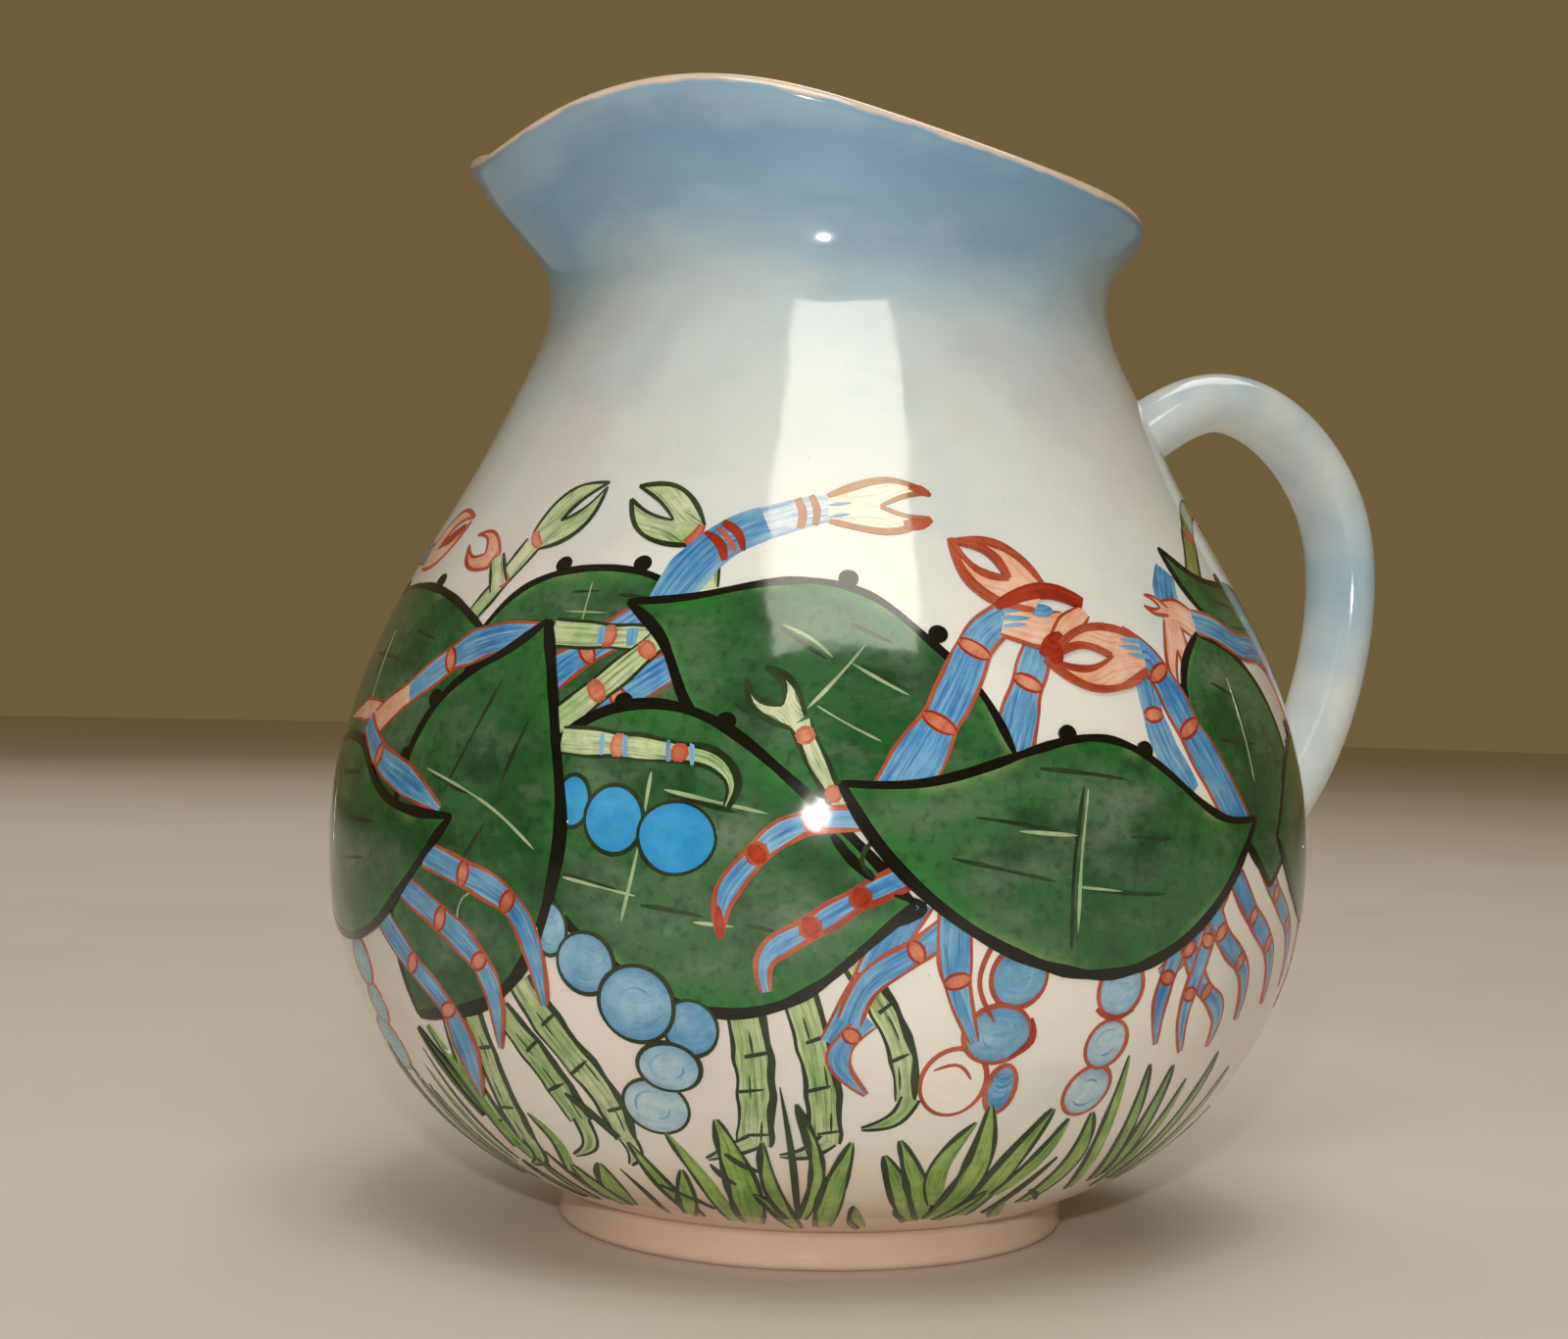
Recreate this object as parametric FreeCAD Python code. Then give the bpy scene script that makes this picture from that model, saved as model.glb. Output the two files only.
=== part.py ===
import FreeCAD, Part
import math
import os

# Ceramic pitcher: a round-bellied, thrown and luted earthenware jug.
# Frame: millimetres, +Z up. The origin is on the axis of the pot, in the plane that the
# foot stands on. The handle points along +X and the pouring spout along -X, so the pot
# is symmetric about the XZ plane.
# Every direction round the pot is an angle measured from the spout: 0 at the spout,
# 180 at the handle.

# Foot ring: the turned ring that the pot stands on
FOOT_RADIUS = 53.1
FOOT_TOP_RADIUS = 53.7
FOOT_INNER_RADIUS = 45.5
FOOT_HEIGHT = 8.0
FOOT_EDGE_ROUND = 1.4
FOOT_WAIST_DEPTH = 0.5

# Wall of the body, outside, as (radius, height), from the foot up to the neck
BODY_PROFILE = [
    (54.6, 8.0), (66.9, 14.0), (80.0, 24.0), (90.8, 38.0), (98.8, 56.0), (101.6, 75.0),
    (100.3, 95.0), (94.8, 115.0), (85.2, 135.0), (73.9, 155.0), (65.1, 173.0),
]
WALL_AT_FOOT = 5.6
WALL_AT_RIM = 4.2
# Where the inside of the wall meets the flat inner floor, as (radius, height)
FLOOR_EDGE = (52.3, 13.1)

# Neck and rim. The spout is a soft pull of the whole rim, so each size has a value on
# the plain side and one at the spout, blended by a bell curve of this width in degrees.
SPOUT_WIDTH = 50.0
NECK_PLAIN = (58.3, 192.1)
NECK_SPOUT = (60.4, 195.2)
RIM_RADIUS = 65.6
SPOUT_PULL = 12.5
FLARE_STATION = 0.55
FLARE_PLAIN = 0.29
FLARE_SPOUT = 0.60
# Height of the rim by angle from the spout: it dips at the spout, is highest on the two
# shoulders of the spout and falls towards the handle
RIM_HEIGHTS = [
    (0.0, 216.3), (20.0, 221.8), (45.0, 226.1), (75.0, 219.5), (105.0, 213.0), (145.0, 210.2), (180.0, 208.4),
]
LIP_SET_IN = 0.6
LIP_SET_DOWN = 3.3

# Handle: an oval strap on this centre line, as (distance from the axis, height). Both ends
# run on through the wall, where the body cuts them off.
HANDLE_PATH = [
    (60.5, 153.0), (69.6, 163.4), (81.4, 172.2), (97.5, 178.7), (112.0, 175.6), (124.0, 166.2),
    (131.8, 153.2), (134.3, 138.0), (131.8, 117.5), (125.0, 99.0), (115.0, 84.0), (102.0, 72.5), (87.0, 64.0),
]
HANDLE_WIDTH = 20.0
HANDLE_THICKNESS = 13.5
HANDLE_ROOT_SWELL = 1.12
HANDLE_SWELL_LENGTH = 40.0

# Slip fillet: the collar of slip worked round each root of the handle. It is thickest at
# the wall and thins to an edge along the handle.
FILLET_REACH = 8.0
FILLET_THICKNESS = 4.0
FILLET_EDGE = 0.4
FILLET_SINK = 1.5

# Fineness of the surfaces: points round each piece and points along it
BODY_DIRECTIONS = 40
WALL_STATIONS = 26
LIP_STATIONS = 5
HANDLE_DIRECTIONS = 20
HANDLE_STATIONS = 29
FILLET_DIRECTIONS = 32
FILLET_STATIONS = 7

PARTS_FOLDER = "parts"


def spline(points, parameters):
    """A natural cubic spline through numbers given at increasing parameters."""
    count = len(points)
    steps = [parameters[i + 1] - parameters[i] for i in range(count - 1)]
    slopes = [(points[i + 1] - points[i]) / steps[i] for i in range(count - 1)]
    bends = [0.0] * count
    weights = [0.0] * count
    loads = [0.0] * count
    for i in range(1, count - 1):
        pivot = 2.0 * (steps[i - 1] + steps[i]) - steps[i - 1] * weights[i - 1]
        weights[i] = steps[i] / pivot
        loads[i] = (6.0 * (slopes[i] - slopes[i - 1]) - steps[i - 1] * loads[i - 1]) / pivot
    for i in range(count - 2, 0, -1):
        bends[i] = loads[i] - weights[i] * bends[i + 1]

    def value(at):
        i = 0
        while i < count - 2 and at > parameters[i + 1]:
            i += 1
        step = steps[i]
        left = (parameters[i + 1] - at) / step
        right = (at - parameters[i]) / step
        curve = (left ** 3 - left) * bends[i] + (right ** 3 - right) * bends[i + 1]
        return left * points[i] + right * points[i + 1] + curve * step * step / 6.0

    return value


def curve_through(points):
    """A smooth plane curve through points; its parameter runs from 0 to its length."""
    lengths = [0.0]
    for (x0, y0), (x1, y1) in zip(points, points[1:]):
        lengths.append(lengths[-1] + math.hypot(x1 - x0, y1 - y0))
    first = spline([p[0] for p in points], lengths)
    second = spline([p[1] for p in points], lengths)
    return (lambda at: (first(at), second(at))), lengths[-1]


def direction_of(curve, at, length):
    """The unit tangent of a curve at a parameter."""
    reach = length * 0.001
    start = curve(max(at - reach, 0.0))
    end = curve(min(at + reach, length))
    size = math.hypot(end[0] - start[0], end[1] - start[1])
    return (end[0] - start[0]) / size, (end[1] - start[1]) / size


def mirrored_heights():
    """The rim heights carried round both sides of the pot, for a smooth closed curve."""
    turns = [-a for a, h in reversed(RIM_HEIGHTS[1:])] + [a for a, h in RIM_HEIGHTS]
    heights = [h for a, h in reversed(RIM_HEIGHTS[1:])] + [h for a, h in RIM_HEIGHTS]
    before = [a - 360.0 for a in turns[-4:-1]]
    after = [a + 360.0 for a in turns[1:4]]
    return before + turns + after, heights[-4:-1] + heights + heights[1:4]


RIM_TURNS, RIM_LEVELS = mirrored_heights()
RIM_HEIGHT_AT = spline(RIM_LEVELS, RIM_TURNS)


def wall_profile(turn):
    """The outside of the wall in one direction, foot to rim, as (radius, height)."""
    pull = math.exp(-(turn / SPOUT_WIDTH) ** 2)
    neck_radius = NECK_PLAIN[0] + (NECK_SPOUT[0] - NECK_PLAIN[0]) * pull
    neck_height = NECK_PLAIN[1] + (NECK_SPOUT[1] - NECK_PLAIN[1]) * pull
    rim_radius = RIM_RADIUS + SPOUT_PULL * pull - LIP_SET_IN
    rim_height = RIM_HEIGHT_AT(turn) - LIP_SET_DOWN
    flare = FLARE_PLAIN + (FLARE_SPOUT - FLARE_PLAIN) * pull
    middle = (
        neck_radius + flare * (rim_radius - neck_radius),
        neck_height + FLARE_STATION * (rim_height - neck_height),
    )
    return BODY_PROFILE + [(neck_radius, neck_height), middle, (rim_radius, rim_height)]


def meridian(turn):
    """One closed section of the wall: up the outside, over the lip and down the inside."""
    curve, length = curve_through(wall_profile(turn))
    outside = []
    inside = []
    for i in range(WALL_STATIONS):
        share = i / (WALL_STATIONS - 1)
        at = length * share
        radius, height = curve(at)
        along = direction_of(curve, at, length)
        wall = WALL_AT_FOOT + (WALL_AT_RIM - WALL_AT_FOOT) * share
        outside.append((radius, height))
        inside.append((radius - along[1] * wall, height + along[0] * wall))
    inside[0] = FLOOR_EDGE
    along = direction_of(curve, length, length)
    centre = (
        (outside[-1][0] + inside[-1][0]) / 2.0,
        (outside[-1][1] + inside[-1][1]) / 2.0,
    )
    lip = []
    for i in range(1, LIP_STATIONS + 1):
        turned = math.pi * i / (LIP_STATIONS + 1)
        out = math.cos(turned) * WALL_AT_RIM / 2.0
        up = math.sin(turned) * WALL_AT_RIM / 2.0
        lip.append((
            centre[0] + along[1] * out + along[0] * up,
            centre[1] - along[0] * out + along[1] * up,
        ))
    return outside + lip + inside[::-1]


def ring_poles(points):
    """The poles of the closed cubic curve through a ring of points, by relaxation."""
    poles = list(points)
    count = len(poles)
    for _ in range(40):
        reached = [
            (poles[i - 1] + poles[i] * 4.0 + poles[(i + 1) % count]) * (1.0 / 6.0) for i in range(count)
        ]
        poles = [pole + point - now for pole, point, now in zip(poles, points, reached)]
    return poles


def skin(lines):
    """A solid with one smooth skin, through lines that run side by side round it.

    Point k of every line lies on ring k. The first and last rings are flat, and each is
    closed by a flat face.
    """
    count = len(lines)
    marks = [0.0]
    for k in range(1, len(lines[0])):
        spans = [line[k].distanceToPoint(line[k - 1]) for line in lines]
        marks.append(marks[-1] + sum(spans) / count)
    columns = []
    for line in lines:
        curve = Part.BSplineCurve()
        curve.interpolate(Points=line, Parameters=marks)
        columns.append(curve.getPoles())
    rings = [ring_poles([column[k] for column in columns]) for k in range(len(columns[0]))]
    surface = Part.BSplineSurface()
    surface.buildFromPolesMultsKnots(
        [[ring[j] for ring in rings] for j in range(count)],
        [1] * (count + 1), curve.getMultiplicities(),
        [float(j) for j in range(count + 1)], curve.getKnots(),
        True, False, 3, 3,
    )
    side = surface.toShape()
    ends = [edge for edge in side.Edges if edge.Closed]
    caps = [Part.Face(Part.Wire([edge])) for edge in ends]
    shell = Part.makeShell([side] + caps)
    shell.sewShape()
    solid = Part.makeSolid(Part.Shell(shell.Faces))
    if solid.Volume < 0.0:
        solid.reverse()
    return solid


def body_wall():
    """The body: one smooth wall, closed by the flat underside and the flat inner floor."""
    lines = []
    for i in range(BODY_DIRECTIONS):
        turn = 360.0 * i / BODY_DIRECTIONS - 180.0
        # The spout points along -X, half a turn from +X
        heading = math.radians(turn + 180.0)
        lines.append([
            FreeCAD.Vector(radius * math.cos(heading), radius * math.sin(heading), height)
            for radius, height in meridian(turn)
        ])
    return skin(lines)


def foot_ring():
    """The foot: a turned ring with rounded lower edges and a slightly waisted outside."""
    inner = FOOT_INNER_RADIUS
    edge = FOOT_EDGE_ROUND
    slack = edge * (1.0 - math.sqrt(0.5))
    corners = {
        "inner_top": (inner, FOOT_HEIGHT),
        "inner_low": (inner, edge),
        "inner_arc": (inner + slack, slack),
        "base_in": (inner + edge, 0.0),
        "base_out": (FOOT_RADIUS - edge, 0.0),
        "outer_arc": (FOOT_RADIUS - slack, slack),
        "outer_low": (FOOT_RADIUS, edge),
        "outer_waist": (FOOT_RADIUS - FOOT_WAIST_DEPTH, (edge + FOOT_HEIGHT) / 2.0),
        "outer_top": (FOOT_TOP_RADIUS, FOOT_HEIGHT),
    }
    at = {name: FreeCAD.Vector(radius, 0.0, height) for name, (radius, height) in corners.items()}
    outline = Part.Wire([
        Part.LineSegment(at["inner_top"], at["inner_low"]).toShape(),
        Part.Arc(at["inner_low"], at["inner_arc"], at["base_in"]).toShape(),
        Part.LineSegment(at["base_in"], at["base_out"]).toShape(),
        Part.Arc(at["base_out"], at["outer_arc"], at["outer_low"]).toShape(),
        Part.Arc(at["outer_low"], at["outer_waist"], at["outer_top"]).toShape(),
        Part.LineSegment(at["outer_top"], at["inner_top"]).toShape(),
    ])
    return Part.Face(outline).revolve(FreeCAD.Vector(), FreeCAD.Vector(0, 0, 1), 360.0)


HANDLE_CURVE, HANDLE_LENGTH = curve_through(HANDLE_PATH)


def handle_swell(at):
    """How much thicker the handle is near its two roots."""
    near = min(at, HANDLE_LENGTH - at)
    share = max(0.0, 1.0 - near / HANDLE_SWELL_LENGTH)
    return 1.0 + (HANDLE_ROOT_SWELL - 1.0) * share * share


def handle_point(at, around, extra=0.0):
    """A point of the handle's surface: length along it, angle round it, and a margin."""
    out, up = HANDLE_CURVE(at)
    along = direction_of(HANDLE_CURVE, at, HANDLE_LENGTH)
    swell = handle_swell(at)
    wide = (HANDLE_WIDTH * swell / 2.0 + extra) * math.cos(around)
    thick = (HANDLE_THICKNESS * swell / 2.0 + extra) * math.sin(around)
    return FreeCAD.Vector(out - along[1] * thick, wide, up + along[0] * thick)


def handle_blank():
    """The handle before it is fitted to the body: it runs through the wall at both ends."""
    lines = []
    for j in range(HANDLE_DIRECTIONS):
        around = 2.0 * math.pi * j / HANDLE_DIRECTIONS
        stations = [HANDLE_LENGTH * k / (HANDLE_STATIONS - 1) for k in range(HANDLE_STATIONS)]
        lines.append([handle_point(at, around) for at in stations])
    return skin(lines)


PLAIN_CURVE, PLAIN_LENGTH = curve_through(wall_profile(180.0))


def wall_radius(height):
    """The outer radius of the plain side of the body at a height."""
    low = 0.0
    high = PLAIN_LENGTH
    while high - low > 1e-4:
        middle = (low + high) / 2.0
        if PLAIN_CURVE(middle)[1] < height:
            low = middle
        else:
            high = middle
    return PLAIN_CURVE(low)[0]


def length_at_gap(upper, around, extra, gap):
    """How far along the handle a line on it stands clear of the wall by a gap."""
    low = 0.0
    high = HANDLE_LENGTH * 0.25
    while high - low > 1e-3:
        middle = (low + high) / 2.0
        point = handle_point(middle if upper else HANDLE_LENGTH - middle, around, extra)
        if math.hypot(point.x, point.y) - wall_radius(point.z) < gap:
            low = middle
        else:
            high = middle
    return low if upper else HANDLE_LENGTH - low


def slip_fillet(body, handle, upper):
    """The slip fillet round one root of the handle: a hollow-sided collar."""
    lines = []
    ends = []
    for j in range(FILLET_DIRECTIONS):
        around = 2.0 * math.pi * j / FILLET_DIRECTIONS
        line = []
        for k in range(FILLET_STATIONS):
            share = k / (FILLET_STATIONS - 1)
            extra = FILLET_EDGE + FILLET_THICKNESS * (1.0 - share) ** 2
            gap = (FILLET_REACH + FILLET_SINK) * share - FILLET_SINK
            at = length_at_gap(upper, around, extra, gap)
            line.append(handle_point(at, around, extra))
        ends.append(at)
        lines.append(line)
    # Both ends are closed by flat ovals out of sight: one in the wall, one in the handle
    root = 0.0 if upper else HANDLE_LENGTH
    far = max(ends) + FILLET_SINK if upper else min(ends) - FILLET_SINK
    for j, line in enumerate(lines):
        around = 2.0 * math.pi * j / FILLET_DIRECTIONS
        line.insert(0, handle_point(root, around, FILLET_THICKNESS))
        line.append(handle_point(far, around, -FILLET_SINK))
    return outer_solid(skin(lines).cut(body).cut(handle))


def outer_solid(shape):
    """The solid outside the wall, without what a cut leaves inside the pot."""
    return max(shape.Solids, key=lambda solid: solid.CenterOfMass.x)


def build():
    """Makes every piece and returns them by name."""
    body = body_wall()
    handle = outer_solid(handle_blank().cut(body))
    return {
        "body": body,
        "foot_ring": foot_ring(),
        "handle": handle,
        "upper_slip_fillet": slip_fillet(body, handle, True),
        "lower_slip_fillet": slip_fillet(body, handle, False),
    }


os.makedirs(PARTS_FOLDER, exist_ok=True)
for name, piece in build().items():
    box = piece.BoundBox
    print(
        f"{name}: {len(piece.Solids)} solid, valid {piece.isValid()}, {piece.Volume / 1000.0:.1f} cm3,",
        f"x {box.XMin:.1f} {box.XMax:.1f}, y {box.YMin:.1f} {box.YMax:.1f}, z {box.ZMin:.1f} {box.ZMax:.1f}",
    )
    piece.exportStep(os.path.join(PARTS_FOLDER, f"{name}.step"))
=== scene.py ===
import bpy
import math
import numpy as np
from mathutils import Matrix


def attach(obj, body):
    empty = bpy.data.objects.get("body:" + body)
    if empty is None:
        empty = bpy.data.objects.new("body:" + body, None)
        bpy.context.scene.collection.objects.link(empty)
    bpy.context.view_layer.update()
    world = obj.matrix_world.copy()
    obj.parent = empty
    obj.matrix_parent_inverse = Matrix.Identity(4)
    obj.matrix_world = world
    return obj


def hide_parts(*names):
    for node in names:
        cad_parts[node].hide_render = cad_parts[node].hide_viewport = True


# Ceramic pitcher: the glazed pot and its hand-painted crabs, beads, reeds and grass.
# The frame is the CAD model's: +Z up, handle +X, spout -X. Shapes are worked out in
# millimetres and turned into metres when a mesh is made. The sizes of the pot repeat the
# CAD model's driving dimensions.
#
# The painting has its own canvas, wrapped round the pot. A point on it is (a, s):
# a is degrees round the pot from the front, positive to the right, and s is millimetres
# up the outside of the wall from the foot. The spout is at a = -65, the handle at a = 115.

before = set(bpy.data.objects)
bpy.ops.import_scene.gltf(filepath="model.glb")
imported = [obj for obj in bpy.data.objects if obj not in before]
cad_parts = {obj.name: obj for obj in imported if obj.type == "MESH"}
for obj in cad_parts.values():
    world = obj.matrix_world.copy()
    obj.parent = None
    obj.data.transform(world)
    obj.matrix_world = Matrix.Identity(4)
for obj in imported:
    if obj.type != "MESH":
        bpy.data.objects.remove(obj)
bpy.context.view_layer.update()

MM = 0.001
SEED = 697
RANDOM = np.random.default_rng(SEED)

# ---- sizes of the pot

FOOT_RADIUS = 53.1
FOOT_TOP_RADIUS = 53.7
FOOT_INNER_RADIUS = 45.5
FOOT_HEIGHT = 8.0
FOOT_EDGE_ROUND = 1.4
FOOT_WAIST_DEPTH = 0.5

# The outside of the wall as (radius, height), from the foot up to the neck, how thick the wall
# is, and where its inside meets the inner floor
BODY_PROFILE = [
    (54.6, 8.0), (66.9, 14.0), (80.0, 24.0), (90.8, 38.0), (98.8, 56.0), (101.6, 75.0),
    (100.3, 95.0), (94.8, 115.0), (85.2, 135.0), (73.9, 155.0), (65.1, 173.0),
]
WALL_AT_FOOT = 5.6
WALL_AT_RIM = 4.2
FLOOR_EDGE = (52.3, 13.1)

# The neck and the rim. Sizes that the spout changes have a value on the plain side and one at
# the spout, blended by a bell curve of this width in degrees.
SPOUT_WIDTH = 50.0
NECK_PLAIN = np.array([58.3, 192.1])
NECK_SPOUT = np.array([60.4, 195.2])
RIM_RADIUS = 65.6
SPOUT_PULL = 12.5
FLARE_STATION = 0.55
FLARE_PLAIN = 0.29
FLARE_SPOUT = 0.60
# The height of the rim by degrees from the spout
RIM_HEIGHTS = np.array([
    (0.0, 216.3), (20.0, 221.8), (45.0, 226.1), (75.0, 219.5), (105.0, 213.0), (145.0, 210.2),
    (180.0, 208.4),
])
LIP_SET_IN = 0.6
LIP_SET_DOWN = 3.3

# The middle of the handle's oval strap as (distance from the axis, height)
HANDLE_PATH = np.array([
    (60.5, 153.0), (69.6, 163.4), (81.4, 172.2), (97.5, 178.7), (112.0, 175.6), (124.0, 166.2),
    (131.8, 153.2), (134.3, 138.0), (131.8, 117.5), (125.0, 99.0), (115.0, 84.0), (102.0, 72.5),
    (87.0, 64.0),
])
HANDLE_WIDTH = 20.0
HANDLE_THICKNESS = 13.5
HANDLE_ROOT_SWELL = 1.12
HANDLE_SWELL_LENGTH = 40.0
ROOT_SINK = 1.5

# The fillet thins to this edge on the handle, and its hidden side is this far inside the handle
FILLET_REACH = 8.0
FILLET_THICKNESS = 4.0
FILLET_EDGE = 0.03
FILLET_CORE = -0.8

# ---- fineness of the meshes

BODY_DIRECTIONS = 256
OUTER_ROWS = 112
INNER_ROWS = 56
LIP_ROWS = 9
FLOOR_SHARES = (0.66, 0.33)
FOOT_DIRECTIONS = 192
FOOT_CORNER_ROWS = 7
FOOT_SIDE_ROWS = 9
HANDLE_DIRECTIONS = 56
HANDLE_ROWS = 130
HANDLE_END_SHARES = (0.5,)
FILLET_DIRECTIONS = 72
FILLET_ROWS = 12
PAINT_STEP = 2.0
LINE_STEP = 1.3
SHARP_ANGLE = 40.0
# Fineness of what is worked out on the way: the step for a curve's direction, as a share of
# its length, points up the plain wall, and where a handle line may leave the wall
DIRECTION_STEP = 0.001
PLAIN_STEPS = 800
ROOT_SHARE = 0.25
ROOT_STEPS = 400

# ---- the painting's own sizes

# Paint stands this far off the glaze, and a little more for each layer under it. Its hidden
# side is sunk into the wall, at a depth of its own, so that no two patches share an edge.
PAINT_LIFT = 0.05
LEVEL_LIFT = 0.012
PAINT_SINK = -0.12
LEVEL_SINK = 0.002
# The front of the canvas: its direction from +X, and its angle from the spout
FRONT_HEADING = -115.0
FRONT_TURN = 65.0


# ==== curves

def natural_spline(knots, values, at):
    """Rows of values on the natural cubic spline through rows given at rising knots."""
    knots = np.asarray(knots, float)
    values = np.asarray(values, float)
    at = np.asarray(at, float)
    count = len(knots)
    steps = np.diff(knots)
    slopes = np.diff(values, axis=0) / steps[:, None]
    system = np.eye(count)
    loads = np.zeros_like(values)
    for i in range(1, count - 1):
        system[i, i - 1:i + 2] = steps[i - 1], 2.0 * (steps[i - 1] + steps[i]), steps[i]
        loads[i] = 6.0 * (slopes[i] - slopes[i - 1])
    bends = np.linalg.solve(system, loads)
    span = np.clip(np.searchsorted(knots, at, side="right") - 1, 0, count - 2)
    step = steps[span][:, None]
    left = (knots[span + 1] - at)[:, None] / step
    right = 1.0 - left
    curve = (left ** 3 - left) * bends[span] + (right ** 3 - right) * bends[span + 1]
    return left * values[span] + right * values[span + 1] + curve * step ** 2 / 6.0


def chord_lengths(points):
    """The length along a chain of points, at each point."""
    return np.concatenate([[0.0], np.cumsum(np.hypot(*np.diff(points, axis=0).T))])


def curve_points(points, at):
    """Points and unit directions of the smooth curve through points, at lengths along it."""
    knots = chord_lengths(points)
    reach = knots[-1] * DIRECTION_STEP
    here = natural_spline(knots, points, at)
    ahead = natural_spline(knots, points, np.minimum(at + reach, knots[-1]))
    behind = natural_spline(knots, points, np.maximum(at - reach, 0.0))
    way = ahead - behind
    return here, way / np.hypot(way[:, 0], way[:, 1])[:, None]


# ==== the wall of the pot

def rim_height(turn):
    """The height of the rim in one direction; turn is degrees from the spout."""
    both = np.vstack([RIM_HEIGHTS[:0:-1] * (-1.0, 1.0), RIM_HEIGHTS])
    rim = np.vstack([both[-4:-1] - (360.0, 0.0), both, both[1:4] + (360.0, 0.0)])
    return natural_spline(rim[:, 0], rim[:, 1:], [turn])[0, 0]


def wall_points(turn):
    """The outside of the wall in one direction, foot to rim, as (radius, height)."""
    pull = math.exp(-(turn / SPOUT_WIDTH) ** 2)
    neck = NECK_PLAIN + (NECK_SPOUT - NECK_PLAIN) * pull
    rim = np.array([RIM_RADIUS + SPOUT_PULL * pull - LIP_SET_IN, rim_height(turn) - LIP_SET_DOWN])
    flare = FLARE_PLAIN + (FLARE_SPOUT - FLARE_PLAIN) * pull
    middle = neck + np.array([flare, FLARE_STATION]) * (rim - neck)
    return np.vstack([BODY_PROFILE, neck, middle, rim])


def wall_section(turn):
    """One section of the wall: outside, lip and inside, with each point's distance from the rim."""
    points = wall_points(turn)
    length = chord_lengths(points)[-1]
    share = np.linspace(0.0, 1.0, OUTER_ROWS)
    outside, way = curve_points(points, share * length)
    inner_share = np.linspace(1.0, 0.0, INNER_ROWS)
    inside, inner_way = curve_points(points, inner_share * length)
    wall = WALL_AT_FOOT + (WALL_AT_RIM - WALL_AT_FOOT) * inner_share
    inside = inside + np.stack([-inner_way[:, 1], inner_way[:, 0]], 1) * wall[:, None]
    inside[-1] = FLOOR_EDGE
    centre = (outside[-1] + inside[0]) / 2.0
    turned = math.pi * np.arange(1, LIP_ROWS + 1)[:, None] / (LIP_ROWS + 1)
    normal = np.array([way[-1, 1], -way[-1, 0]])
    lip = centre + (np.cos(turned) * normal + np.sin(turned) * way[-1]) * WALL_AT_RIM / 2.0
    from_rim = np.concatenate([(1.0 - share) * length, np.zeros(LIP_ROWS), (1.0 - inner_share) * length])
    side = np.concatenate([np.zeros(OUTER_ROWS), np.linspace(0.1, 0.9, LIP_ROWS), np.ones(INNER_ROWS)])
    return np.vstack([outside, lip, inside]), from_rim, side


PLAIN_WALL = wall_points(180.0)
PLAIN_LENGTHS = np.linspace(0.0, chord_lengths(PLAIN_WALL)[-1], PLAIN_STEPS)
PLAIN_CURVE = natural_spline(chord_lengths(PLAIN_WALL), PLAIN_WALL, PLAIN_LENGTHS)


def wall_radius(height):
    """The outer radius of the plain side of the body at heights."""
    return np.interp(height, PLAIN_CURVE[:, 1], PLAIN_CURVE[:, 0])


# ==== meshes

def make_piece(name, points, faces, finishes, face_finish=None, values=None, sharp=False):
    """A mesh piece from points in millimetres, riding with the pot."""
    mesh = bpy.data.meshes.new(name)
    mesh.from_pydata((np.asarray(points) * MM).tolist(), [], faces)
    for finish in finishes:
        mesh.materials.append(finish)
    if face_finish is not None:
        mesh.polygons.foreach_set("material_index", np.asarray(face_finish, np.int32))
    for key, numbers in (values or {}).items():
        layer = mesh.attributes.new(key, "FLOAT", "POINT")
        layer.data.foreach_set("value", np.asarray(numbers, np.float32))
    mesh.validate()
    mesh.shade_smooth()
    if sharp:
        mesh.set_sharp_from_angle(angle=math.radians(SHARP_ANGLE))
    piece = bpy.data.objects.new(name, mesh)
    bpy.context.scene.collection.objects.link(piece)
    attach(piece, "root")
    return piece


def ring_faces(directions, rows, closed=False):
    """Quads over a tube of points numbered direction by direction, row by row."""
    faces = []
    last = rows if closed else rows - 1
    for i in range(directions):
        here = i * rows
        there = (i + 1) % directions * rows
        for k in range(last):
            up = (k + 1) % rows
            faces.append((here + k, there + k, there + up, here + up))
    return faces


def cap_faces(points, ring, centre, shares, flip):
    """Closes a ring of point numbers with smaller rings and a centre point."""
    faces = []
    count = len(ring)
    edge = [points[i] for i in ring]
    centre = np.asarray(centre, float)
    for share in shares:
        start = len(points)
        points.extend(centre + (p - centre) * share for p in edge)
        new = list(range(start, start + count))
        for i in range(count):
            j = (i + 1) % count
            faces.append((ring[i], ring[j], new[j], new[i]))
        ring = new
    points.append(centre)
    middle = len(points) - 1
    faces.extend((ring[i], ring[(i + 1) % count], middle) for i in range(count))
    return [face[::-1] for face in faces] if flip else faces


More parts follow.
